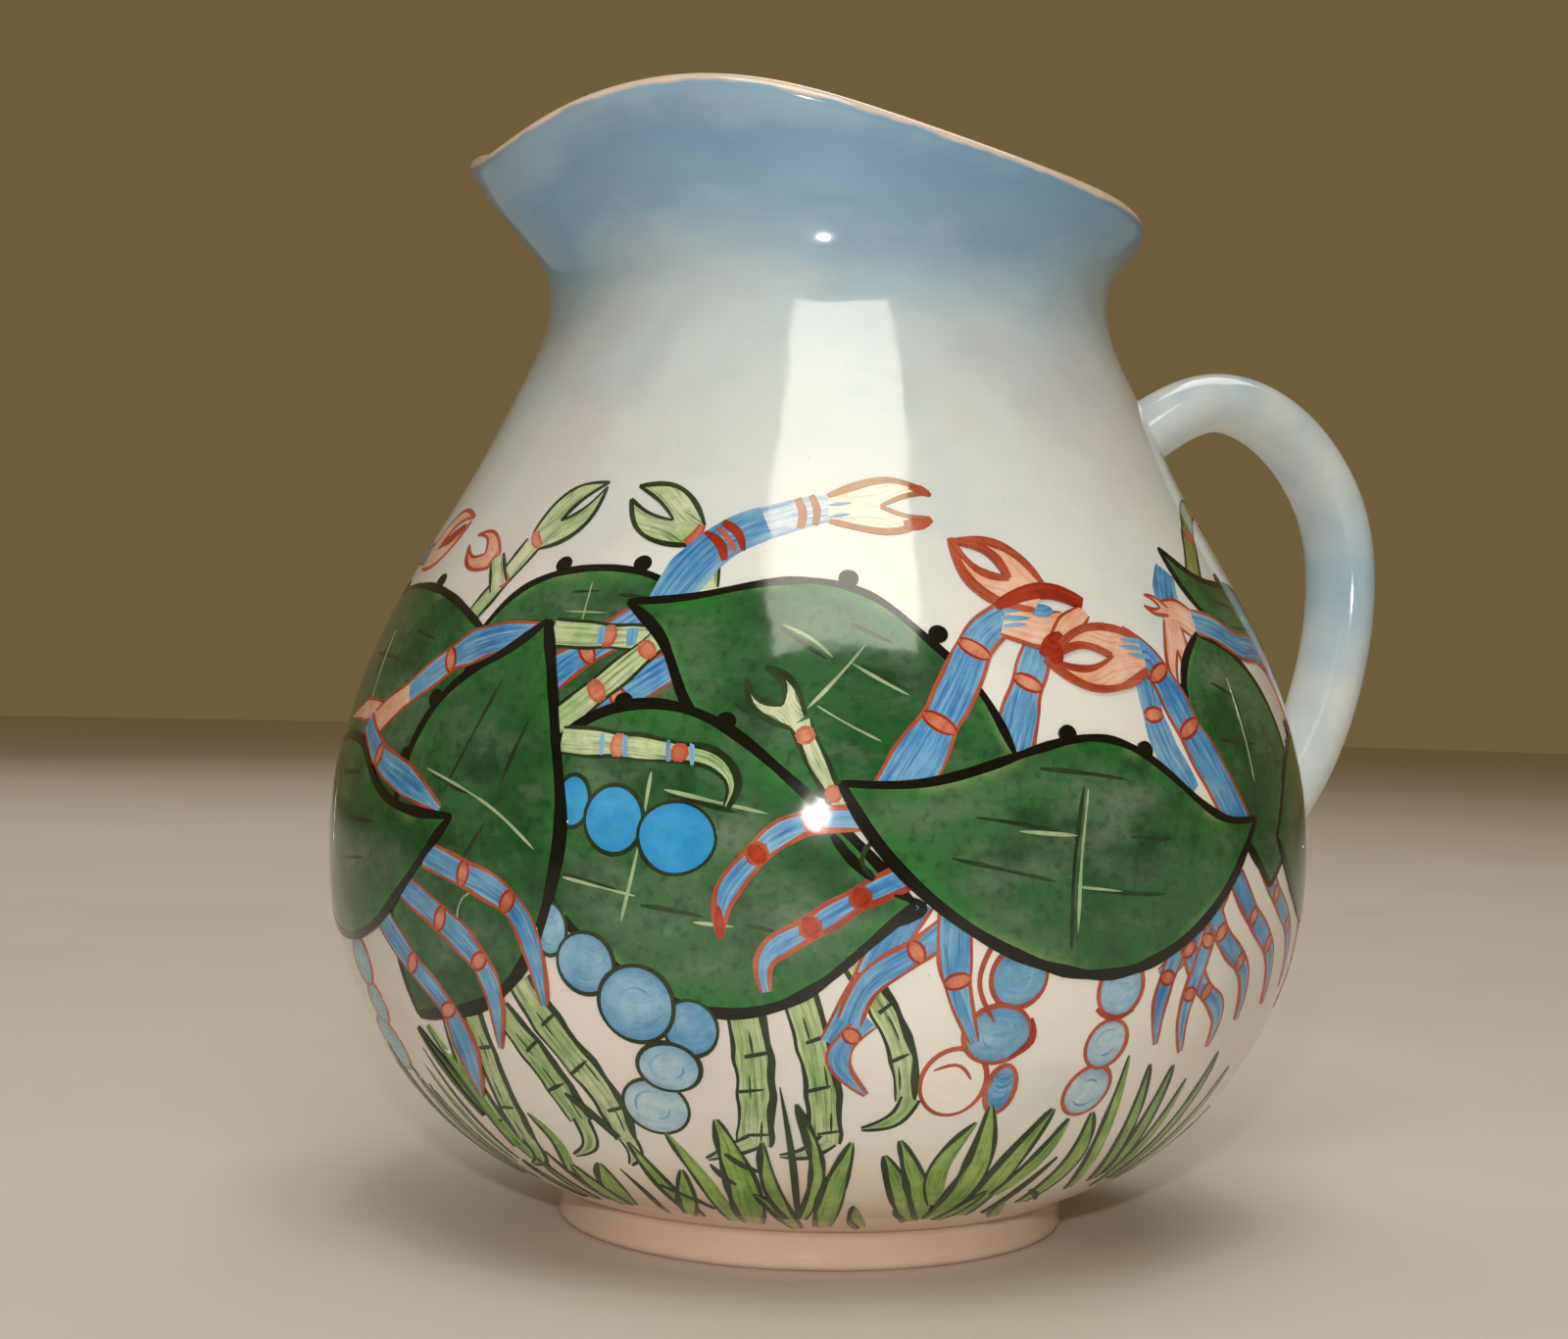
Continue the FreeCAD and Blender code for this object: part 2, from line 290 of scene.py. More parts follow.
def body_piece(finish):
    """The wall of the pot, its flat underside and its flat inner floor."""
    points = []
    from_rim = []
    side = []
    for i in range(BODY_DIRECTIONS):
        turn = 360.0 * i / BODY_DIRECTIONS - 180.0
        heading = math.radians(turn + 180.0)
        section, distance, inner = wall_section(turn)
        points.extend(
            np.array([radius * math.cos(heading), radius * math.sin(heading), height])
            for radius, height in section
        )
        from_rim.extend(distance)
        side.extend(inner)
    rows = OUTER_ROWS + LIP_ROWS + INNER_ROWS
    faces = ring_faces(BODY_DIRECTIONS, rows)
    for row, height, flip in ((0, FOOT_HEIGHT, True), (rows - 1, FLOOR_EDGE[1], False)):
        ring = [i * rows + row for i in range(BODY_DIRECTIONS)]
        before = len(points)
        faces.extend(cap_faces(points, ring, (0.0, 0.0, height), FLOOR_SHARES, flip))
        from_rim.extend([from_rim[row]] * (len(points) - before))
        side.extend([side[row]] * (len(points) - before))
    return make_piece("body_glazed", points, faces, [finish], values={"from_rim": from_rim, "side": side})


def foot_piece(finish):
    """The turned foot ring, with rounded lower edges and a slightly waisted outside."""
    edge = FOOT_EDGE_ROUND
    inner = FOOT_INNER_RADIUS
    corner = np.radians(np.linspace(0.0, 90.0, FOOT_CORNER_ROWS))
    outline = [(inner, FOOT_HEIGHT)]
    outline += [(inner + edge - edge * math.cos(t), edge - edge * math.sin(t)) for t in corner]
    outline += [(FOOT_RADIUS - edge + edge * math.sin(t), edge - edge * math.cos(t)) for t in corner]
    for share in np.linspace(0.0, 1.0, FOOT_SIDE_ROWS)[1:]:
        waist = FOOT_WAIST_DEPTH * 4.0 * share * (1.0 - share)
        radius = FOOT_RADIUS + (FOOT_TOP_RADIUS - FOOT_RADIUS) * share - waist
        outline.append((radius, edge + (FOOT_HEIGHT - edge) * share))
    points = []
    for i in range(FOOT_DIRECTIONS):
        heading = 2.0 * math.pi * i / FOOT_DIRECTIONS
        points.extend((r * math.cos(heading), r * math.sin(heading), z) for r, z in outline)
    faces = ring_faces(FOOT_DIRECTIONS, len(outline), closed=True)
    return make_piece("foot_ring_glazed", points, faces, [finish], sharp=True)


# ==== the handle

HANDLE_LENGTH = chord_lengths(HANDLE_PATH)[-1]


def handle_points(at, around, extra=0.0):
    """Points of the handle's surface: length along it, angle round it, and a margin."""
    at = np.atleast_1d(at)
    here, way = curve_points(HANDLE_PATH, at)
    near = np.minimum(at, HANDLE_LENGTH - at)
    swell = 1.0 + (HANDLE_ROOT_SWELL - 1.0) * np.maximum(0.0, 1.0 - near / HANDLE_SWELL_LENGTH) ** 2
    wide = (HANDLE_WIDTH * swell / 2.0 + extra) * math.cos(around)
    thick = (HANDLE_THICKNESS * swell / 2.0 + extra) * math.sin(around)
    return np.stack([here[:, 0] - way[:, 1] * thick, wide, here[:, 1] + way[:, 0] * thick], 1)


def length_at_gap(upper, around, extra, gap):
    """How far along the handle a line on it stands clear of the wall by a gap."""
    at = np.linspace(0.0, HANDLE_LENGTH * ROOT_SHARE, ROOT_STEPS)
    line = handle_points(at if upper else HANDLE_LENGTH - at, around, extra)
    clear = np.hypot(line[:, 0], line[:, 1]) - wall_radius(line[:, 2])
    first = max(np.argmax(clear > gap), 1)
    share = (gap - clear[first - 1]) / (clear[first] - clear[first - 1])
    out = at[first - 1] + (at[first] - at[first - 1]) * share
    return out if upper else HANDLE_LENGTH - out


def handle_piece(finish):
    """The oval strap, from inside the wall at its upper root to inside the wall at its lower one."""
    points = []
    along = []
    for j in range(HANDLE_DIRECTIONS):
        around = 2.0 * math.pi * j / HANDLE_DIRECTIONS
        start = length_at_gap(True, around, 0.0, -ROOT_SINK)
        end = length_at_gap(False, around, 0.0, -ROOT_SINK)
        at = np.linspace(start, end, HANDLE_ROWS)
        points.extend(handle_points(at, around))
        along.extend(at)
    faces = ring_faces(HANDLE_DIRECTIONS, HANDLE_ROWS)
    for row, flip in ((0, True), (HANDLE_ROWS - 1, False)):
        ring = [j * HANDLE_ROWS + row for j in range(HANDLE_DIRECTIONS)]
        centre = np.mean([points[i] for i in ring], axis=0)
        before = len(points)
        faces.extend(cap_faces(points, ring, centre, HANDLE_END_SHARES, flip))
        along.extend([along[row]] * (len(points) - before))
    return make_piece("handle_glazed", points, faces, [finish], values={"along": along})


def fillet_piece(name, upper, finish):
    """The slip fillet round one root of the handle: a hollow-sided collar that thins to nothing."""
    points = []
    along = []
    for j in range(FILLET_DIRECTIONS):
        around = 2.0 * math.pi * j / FILLET_DIRECTIONS
        line = []
        for share in np.linspace(0.0, 1.0, FILLET_ROWS):
            extra = FILLET_EDGE + FILLET_THICKNESS * (1.0 - share) ** 2
            gap = (FILLET_REACH + ROOT_SINK) * share - ROOT_SINK
            line.append((length_at_gap(upper, around, extra, gap), extra))
        line.append((line[-1][0], FILLET_CORE))
        line.append((line[0][0], FILLET_CORE))
        points.extend(handle_points(at, around, extra)[0] for at, extra in line)
        along.extend(at for at, extra in line)
    faces = ring_faces(FILLET_DIRECTIONS, FILLET_ROWS + 2, closed=True)
    if not upper:
        faces = [face[::-1] for face in faces]
    return make_piece(name, points, faces, [finish], values={"along": along})


# ==== materials

def rgb(red, green, blue):
    """A linear colour from one given as 0 to 255 on a screen."""
    screen = np.array([red, green, blue]) / 255.0
    linear = np.where(screen < 0.04045, screen / 12.92, ((screen + 0.055) / 1.055) ** 2.4)
    return (*linear.tolist(), 1.0)


GLAZE_INDEX = 1.5
WAVE_DEPTH = 0.0012


class Tree:
    """A material's nodes, with a short call for each kind of node used here."""

    def __init__(self, name):
        self.material = bpy.data.materials.new(name)
        self.material.use_nodes = True
        self.nodes = self.material.node_tree.nodes
        self.links = self.material.node_tree.links
        self.nodes.clear()
        self.place = self.node("ShaderNodeTexCoord").outputs["Object"]

    def node(self, kind, inputs=None, **settings):
        made = self.nodes.new(kind)
        for key, value in settings.items():
            setattr(made, key, value)
        for socket, value in (inputs or {}).items():
            if isinstance(value, bpy.types.NodeSocket):
                self.links.new(value, made.inputs[socket])
            else:
                made.inputs[socket].default_value = value
        return made

    def noise(self, scale, detail=3.0, place=None, roughness=0.55):
        inputs = {"Vector": place or self.place, "Scale": scale, "Detail": detail, "Roughness": roughness}
        return self.node("ShaderNodeTexNoise", inputs).outputs["Fac"]

    def stretched(self, x, y, z):
        inputs = {0: self.place, 1: (x, y, z)}
        return self.node("ShaderNodeVectorMath", inputs, operation="MULTIPLY").outputs[0]

    def value(self, name):
        return self.node("ShaderNodeAttribute", attribute_name=name).outputs["Fac"]

    def math(self, operation, first, second=0.0):
        return self.node("ShaderNodeMath", {0: first, 1: second}, operation=operation).outputs[0]

    def fit(self, value, low, high, to_low=0.0, to_high=1.0):
        inputs = {"Value": value, "From Min": low, "From Max": high, "To Min": to_low, "To Max": to_high}
        return self.node("ShaderNodeMapRange", inputs).outputs[0]

    def mix(self, share, first, second, blend="MIX"):
        inputs = {0: share, 6: first, 7: second}
        return self.node("ShaderNodeMix", inputs, data_type="RGBA", blend_type=blend).outputs[2]

    def ramp(self, value, stops):
        made = self.node("ShaderNodeValToRGB", {0: value})
        elements = made.color_ramp.elements
        while len(elements) < len(stops):
            elements.new(1.0)
        for element, (at, colour) in zip(elements, stops):
            element.position = at
            element.color = colour
        return made.outputs[0]

    def glazed(self, colour, wave=0.2, low=0.05, high=0.13):
        """Ends the tree in a glossy glaze whose surface is very slightly wavy."""
        waves = self.math("ADD", self.noise(38.0, 1.0), self.math("MULTIPLY", self.noise(160.0, 2.0), 0.16))
        bump = self.node("ShaderNodeBump", {"Strength": wave, "Distance": WAVE_DEPTH, "Height": waves})
        roughness = self.fit(self.noise(55.0, 4.0), 0.3, 0.7, low, high)
        inputs = {
            "Base Color": colour, "Roughness": roughness, "IOR": GLAZE_INDEX, "Normal": bump.outputs[0],
        }
        surface = self.node("ShaderNodeBsdfPrincipled", inputs)
        self.node("ShaderNodeOutputMaterial", {"Surface": surface.outputs[0]})
        return self.material


def body_finish():
    """Sky blue at the rim, deepest by the spout, fading to white on the belly and peach at the foot."""
    tree = Tree("body_glaze")
    from_rim = tree.value("from_rim")
    drift = tree.fit(tree.noise(14.0, 2.0), 0.3, 0.7, -4.5, 4.5)
    brush = tree.fit(tree.noise(60.0, 4.0, tree.stretched(1.0, 1.0, 2.5)), 0.3, 0.7, -2.5, 2.5)
    along_spout, _, height = tree.node("ShaderNodeSeparateXYZ", {0: tree.place}).outputs
    lean = tree.fit(along_spout, -0.07, 0.07, -5.0, 16.0)
    distance = tree.math("ADD", tree.math("ADD", from_rim, lean), tree.math("ADD", drift, brush))
    wash = tree.ramp(tree.fit(distance, 0.0, 240.0), [
        (0.00, rgb(140, 174, 200)), (0.03, rgb(114, 156, 191)), (0.07, rgb(126, 165, 195)),
        (0.11, rgb(160, 186, 204)), (0.15, rgb(186, 203, 212)), (0.24, rgb(206, 216, 219)),
        (0.37, rgb(218, 223, 223)), (0.55, rgb(230, 229, 226)), (0.85, rgb(228, 224, 217)),
    ])
    rose = tree.fit(tree.noise(19.0, 4.0), 0.48, 0.70, 0.0, 0.6)
    wash = tree.mix(rose, wash, tree.mix(1.0, wash, rgb(248, 224, 226), "MULTIPLY"))
    sky = tree.fit(tree.noise(25.0, 4.0, tree.stretched(1.3, 0.8, 1.6)), 0.50, 0.70, 0.0, 0.5)
    wash = tree.mix(sky, wash, tree.mix(1.0, wash, rgb(224, 236, 247), "MULTIPLY"))
    ragged = tree.math("ADD", height, tree.fit(tree.noise(45.0, 4.0), 0.3, 0.7, -0.007, 0.007))
    sand = tree.ramp(tree.fit(ragged, 0.004, 0.036), [
        (0.0, rgb(218, 182, 156)), (0.25, rgb(226, 200, 178)), (0.6, rgb(231, 219, 205)),
        (1.0, rgb(232, 228, 222)),
    ])
    wash = tree.mix(tree.fit(ragged, 0.036, 0.014), wash, sand)
    side = tree.value("side")
    inner = tree.ramp(tree.fit(distance, 0.0, 120.0), [
        (0.0, rgb(128, 166, 196)), (0.14, rgb(150, 182, 204)), (0.45, rgb(206, 216, 220)),
        (1.0, rgb(228, 228, 224)),
    ])
    wash = tree.mix(tree.fit(side, 0.45, 0.75), wash, inner)
    crest = tree.math("ABSOLUTE", tree.math("SUBTRACT", side, 0.5))
    crest = tree.math("ADD", crest, tree.fit(tree.noise(110.0, 3.0), 0.3, 0.7, -0.07, 0.07))
    bare = tree.mix(tree.noise(120.0, 3.0), rgb(236, 216, 196), rgb(226, 196, 176))
    wash = tree.mix(tree.fit(crest, 0.34, 0.22, 0.0, 0.9), wash, bare)
    specks = tree.fit(tree.noise(900.0, 1.0), 0.80, 0.84, 0.0, 0.5)
    wash = tree.mix(specks, wash, rgb(120, 112, 100))
    return tree.glazed(wash)


def foot_finish():
    """A peach wash, darker in a band along its top where it meets the body, with sandy mottling."""
    tree = Tree("foot_glaze")
    height = tree.node("ShaderNodeSeparateXYZ", {0: tree.place}).outputs[2]
    wash = tree.mix(tree.noise(60.0, 5.0), rgb(236, 210, 192), rgb(222, 186, 166))
    wash = tree.mix(tree.fit(tree.noise(22.0, 3.0), 0.5, 0.7, 0.0, 0.6), wash, rgb(238, 222, 208))
    # Darker towards the top of the ring, in the band just under the body
    wash = tree.mix(tree.fit(height, 0.0064, 0.0079, 0.0, 0.6), wash, rgb(172, 130, 104))
    wash = tree.mix(tree.fit(height, 0.0012, 0.0, 0.0, 0.6), wash, rgb(206, 184, 162))
    return tree.glazed(wash, wave=0.3)


def handle_finish():
    """White with a loose pale blue wash over the outside of the loop."""
    tree = Tree("handle_glaze")
    along = tree.value("along")
    patches = tree.math("ADD", tree.noise(20.0, 4.0), tree.math("MULTIPLY", tree.noise(90.0, 3.0), 0.22))
    wash = tree.ramp(tree.fit(patches, 0.42, 0.85), [
        (0.0, rgb(229, 230, 226)), (0.35, rgb(210, 220, 226)), (0.7, rgb(182, 204, 221)),
        (1.0, rgb(162, 191, 215)),
    ])
    root = tree.fit(along, 30.0, 14.0, 0.0, 0.7)
    wash = tree.mix(root, wash, rgb(212, 220, 224))
    return tree.glazed(wash)


def pigment(name, pale, main, dark, streaks=0.0, edge=0.5, mottling=1.0, rim_pale=0.0):
    """A brushed underglaze colour: uneven, streaked along the stroke, darker or paler at its edges."""
    tree = Tree(name)
    cloud = tree.fit(tree.noise(75.0, 4.0), 0.32, 0.68)
    colour = tree.mix(cloud, main, tree.mix(mottling, main, pale))
    grain = tree.fit(tree.noise(420.0, 3.0), 0.45, 0.75, 0.0, 0.35 * mottling)
    colour = tree.mix(grain, colour, dark)
    if streaks:
        parts = {0: tree.math("MULTIPLY", tree.value("along"), 0.05)}
        parts[1] = tree.math("MULTIPLY", tree.value("across"), 1.1)
        parts[2] = tree.math("MULTIPLY", tree.noise(30.0, 2.0), 3.0)
        lines = tree.noise(1.5, 4.0, tree.node("ShaderNodeCombineXYZ", parts).outputs[0], 0.65)
        colour = tree.mix(tree.fit(lines, 0.50, 0.66, 0.0, streaks), colour, dark)
        colour = tree.mix(tree.fit(lines, 0.46, 0.30, 0.0, streaks), colour, pale)
    uneven = tree.fit(tree.noise(130.0, 3.0), 0.3, 0.6, 0.3, 1.0)
    rim = tree.math("MULTIPLY", tree.value("tone"), uneven)
    colour = tree.mix(tree.math("MULTIPLY", rim, edge), colour, dark)
    if rim_pale:
        thin = tree.fit(tree.noise(60.0, 3.0), 0.42, 0.60)
        thin = tree.math("MULTIPLY", thin, tree.fit(tree.value("tone"), 0.35, 0.75, 0.0, rim_pale))
        colour = tree.mix(thin, colour, pale)
    return tree.glazed(colour, wave=0.22)


def shell_finish():
    """Green brushed on thickly at the edges and rubbed thin and greyish in the middle."""
    tree = Tree("shell_green")
    tone = tree.value("tone")
    middle = tree.fit(tone, 0.60, 0.10, 0.25, 1.0)
    colour = tree.mix(tree.fit(tree.noise(40.0, 3.0), 0.38, 0.60), rgb(34, 84, 42), rgb(58, 104, 64))
    lively = tree.math("MULTIPLY", tone, tree.fit(tree.noise(44.0, 3.0), 0.32, 0.58, 0.2, 1.0))
    colour = tree.mix(lively, colour, rgb(40, 116, 48))
    strokes = tree.noise(50.0, 5.0, tree.stretched(1.0, 1.0, 2.0), 0.6)
    rubbed = tree.math("MULTIPLY", tree.fit(strokes, 0.46, 0.70, 0.0, 0.85), middle)
    colour = tree.mix(rubbed, colour, rgb(110, 126, 106))
    deep = tree.noise(54.0, 4.0, tree.stretched(1.0, 1.0, 1.5), 0.6)
    colour = tree.mix(tree.fit(deep, 0.48, 0.70, 0.0, 0.75), colour, rgb(16, 50, 28))
    patch = tree.fit(tree.noise(65.0, 4.0), 0.52, 0.66, 0.0, 0.6)
    thin = tree.math("MULTIPLY", tree.fit(tone, 0.50, 0.90), patch)
    colour = tree.mix(thin, colour, rgb(142, 168, 112))
    grain = tree.fit(tree.noise(520.0, 2.0), 0.5, 0.75, 0.0, 0.5)
    colour = tree.mix(grain, colour, rgb(16, 46, 28))
    return tree.glazed(colour, wave=0.22)


PIGMENTS = {
    "shell": shell_finish(),
    "ink": pigment("black_ink", rgb(30, 34, 28), rgb(9, 11, 9), rgb(5, 6, 4), mottling=0.4),
    "blue": pigment(
        "limb_blue", rgb(156, 202, 228), rgb(46, 128, 190), rgb(32, 80, 148), 0.7, 0.25, 0.6, 0.5,
    ),
    "pale_blue": pigment("dry_blue", rgb(232, 236, 238), rgb(176, 200, 222), rgb(84, 134, 190), 1.0, 0.5),
    "red": pigment("outline_red", rgb(202, 112, 84), rgb(164, 64, 42), rgb(116, 32, 20), 0.4, 0.3),
    "joint": pigment("joint_red", rgb(226, 166, 138), rgb(196, 102, 72), rgb(154, 50, 34), 0.45, 0.8),
    "dark_red": pigment("dark_red", rgb(188, 74, 48), rgb(152, 38, 22), rgb(100, 16, 10), 0.6, 0.4),
    "pink": pigment("claw_pink", rgb(242, 218, 202), rgb(224, 166, 136), rgb(200, 116, 84), 0.5, 0.35),
    "white": pigment(
        "bare_white", rgb(240, 236, 230), rgb(232, 226, 220), rgb(220, 206, 198), 0.2, 0.1, 0.5,
    ),
    "tan": pigment("claw_tan", rgb(246, 242, 228), rgb(238, 226, 202), rgb(200, 156, 108), 0.5, 0.2),
    "tan_edge": pigment("tan_outline", rgb(190, 138, 84), rgb(156, 98, 46), rgb(116, 62, 26), 0.4, 0.3),
    "limb_green": pigment("limb_green", rgb(216, 222, 190), rgb(160, 190, 130), rgb(62, 94, 52), 0.75, 0.15),
    "reed": pigment(
        "reed_green", rgb(214, 220, 182), rgb(132, 170, 98), rgb(58, 88, 46), 0.8, 0.2, 0.8, 0.6,
    ),
    "olive": pigment("olive_green", rgb(164, 170, 96), rgb(118, 134, 62), rgb(58, 70, 32), 0.6, 0.4),
    "dark_green": pigment("dark_green", rgb(60, 80, 48), rgb(30, 46, 26), rgb(16, 26, 14), 0.4, 0.3),
    "grass": pigment("grass_green", rgb(176, 200, 116), rgb(112, 156, 68), rgb(52, 88, 36), 0.6, 0.35),
    "bead": pigment("bead_blue", rgb(168, 206, 226), rgb(88, 152, 196), rgb(44, 100, 154), 0.2, 0.7),
    "bead_pale": pigment(
        "bead_pale_blue", rgb(206, 222, 230), rgb(136, 180, 206), rgb(70, 120, 168), 0.2, 0.8,
    ),
    "bright": pigment("bright_blue", rgb(78, 172, 224), rgb(48, 146, 210), rgb(34, 112, 180), 0.1, 0.4),
    "cream": pigment("cream_scratch", rgb(190, 204, 168), rgb(146, 170, 126), rgb(96, 128, 84), 0.3, 0.2),
}


# ==== the canvas

# Degrees from the spout and millimetres up the wall
CANVAS_TURNS = np.arange(0.0, 181.0, 2.0)
CANVAS_LENGTHS = np.arange(0.0, 205.0, 0.5)


def wall_table():
    """Radius, height and outward direction of the wall over the whole canvas."""
    lines = []
    ways = []
    for turn in CANVAS_TURNS:
        here, way = curve_points(wall_points(turn), CANVAS_LENGTHS)
        lines.append(here)
        ways.append(np.stack([way[:, 1], -way[:, 0]], 1))
    return np.concatenate([np.array(lines), np.array(ways)], axis=2)


WALL_TABLE = wall_table()


def canvas_points(a, s, lift):
    """Points of the pot's outside at places on the canvas, lifted off the wall."""
    turn = np.abs((a + FRONT_TURN + 180.0) % 360.0 - 180.0)
    row = turn / (CANVAS_TURNS[1] - CANVAS_TURNS[0])
    column = s / (CANVAS_LENGTHS[1] - CANVAS_LENGTHS[0])
    i = np.clip(row.astype(int), 0, len(CANVAS_TURNS) - 2)
    j = np.clip(column.astype(int), 0, len(CANVAS_LENGTHS) - 2)
    u = (row - i)[..., None]
    v = (column - j)[..., None]
    near = WALL_TABLE[i, j] * (1.0 - v) + WALL_TABLE[i, j + 1] * v
    far = WALL_TABLE[i + 1, j] * (1.0 - v) + WALL_TABLE[i + 1, j + 1] * v
    radius, height, out, up = np.moveaxis(near * (1.0 - u) + far * u, -1, 0)
    heading = np.radians(a + FRONT_HEADING)
    radius = radius + out * lift
    return np.stack([radius * np.cos(heading), radius * np.sin(heading), height + up * lift], -1)


def canvas_scale(s):
    """Millimetres round the pot per degree, at lengths up the wall."""
    return np.interp(s, PLAIN_LENGTHS, PLAIN_CURVE[:, 0]) * math.pi / 180.0


def canvas_lengths(line):
    """The length in millimetres along a line on the canvas, at each of its points."""
    scale = canvas_scale((line[1:, 1] + line[:-1, 1]) / 2.0)
    steps = np.diff(line, axis=0)
    return np.concatenate([[0.0], np.cumsum(np.hypot(steps[:, 0] * scale, steps[:, 1]))])


def smooth_line(points, step=LINE_STEP, count=None):
    """Points close together on the smooth curve through a few points of the canvas."""
    points = np.array(points, float)
    knots = canvas_lengths(points)
    count = count or max(4, int(knots[-1] / step) + 2)
    return natural_spline(knots, points, np.linspace(0.0, knots[-1], count))


def side_steps(line, closed=False):
    """A step of one millimetre to the left of a line, at each of its points."""
    if closed:
        way = np.roll(line, -1, axis=0) - np.roll(line, 1, axis=0)
    else:
        way = np.gradient(line, axis=0)
    scale = canvas_scale(line[:, 1])
    across = way[:, 0] * scale
    size = np.hypot(across, way[:, 1])
    return np.stack([-way[:, 1] / size / scale, across / size], 1)


def wavering(count, length, every=5.0, closed=False):
    """A smooth unsteady number between -1 and 1 along a hand-drawn line."""
    knots = max(3, int(length / every) + 2)
    levels = RANDOM.uniform(-1.0, 1.0, knots)
    if closed:
        levels[-1] = levels[0]
    return np.interp(np.linspace(0.0, 1.0, count), np.linspace(0.0, 1.0, knots), levels)


# How many patches lie on each other in each small cell of the canvas, and the length under
# which a column of a patch counts as one point
CELL_TURN = 0.5
CELL_LENGTH = 0.75
SHRUNK_SIZE = 0.01
LEVELS = np.zeros((int(360 / CELL_TURN), int(CANVAS_LENGTHS[-1] / CELL_LENGTH) + 1), int)


def level_over(a, s):
    """The lowest level above what is already painted there, which a new patch then takes."""
    across, up = LEVELS.shape
    i = np.floor(a / CELL_TURN).astype(int)
    j = np.floor(s / CELL_LENGTH).astype(int)
    cells = [((i + di) % across, np.clip(j + dj, 0, up - 1)) for di in (-1, 0, 1) for dj in (-1, 0, 1)]
    level = max(LEVELS[cell].max() for cell in cells) + 1
    for cell in cells:
        LEVELS[cell] = level
    return level


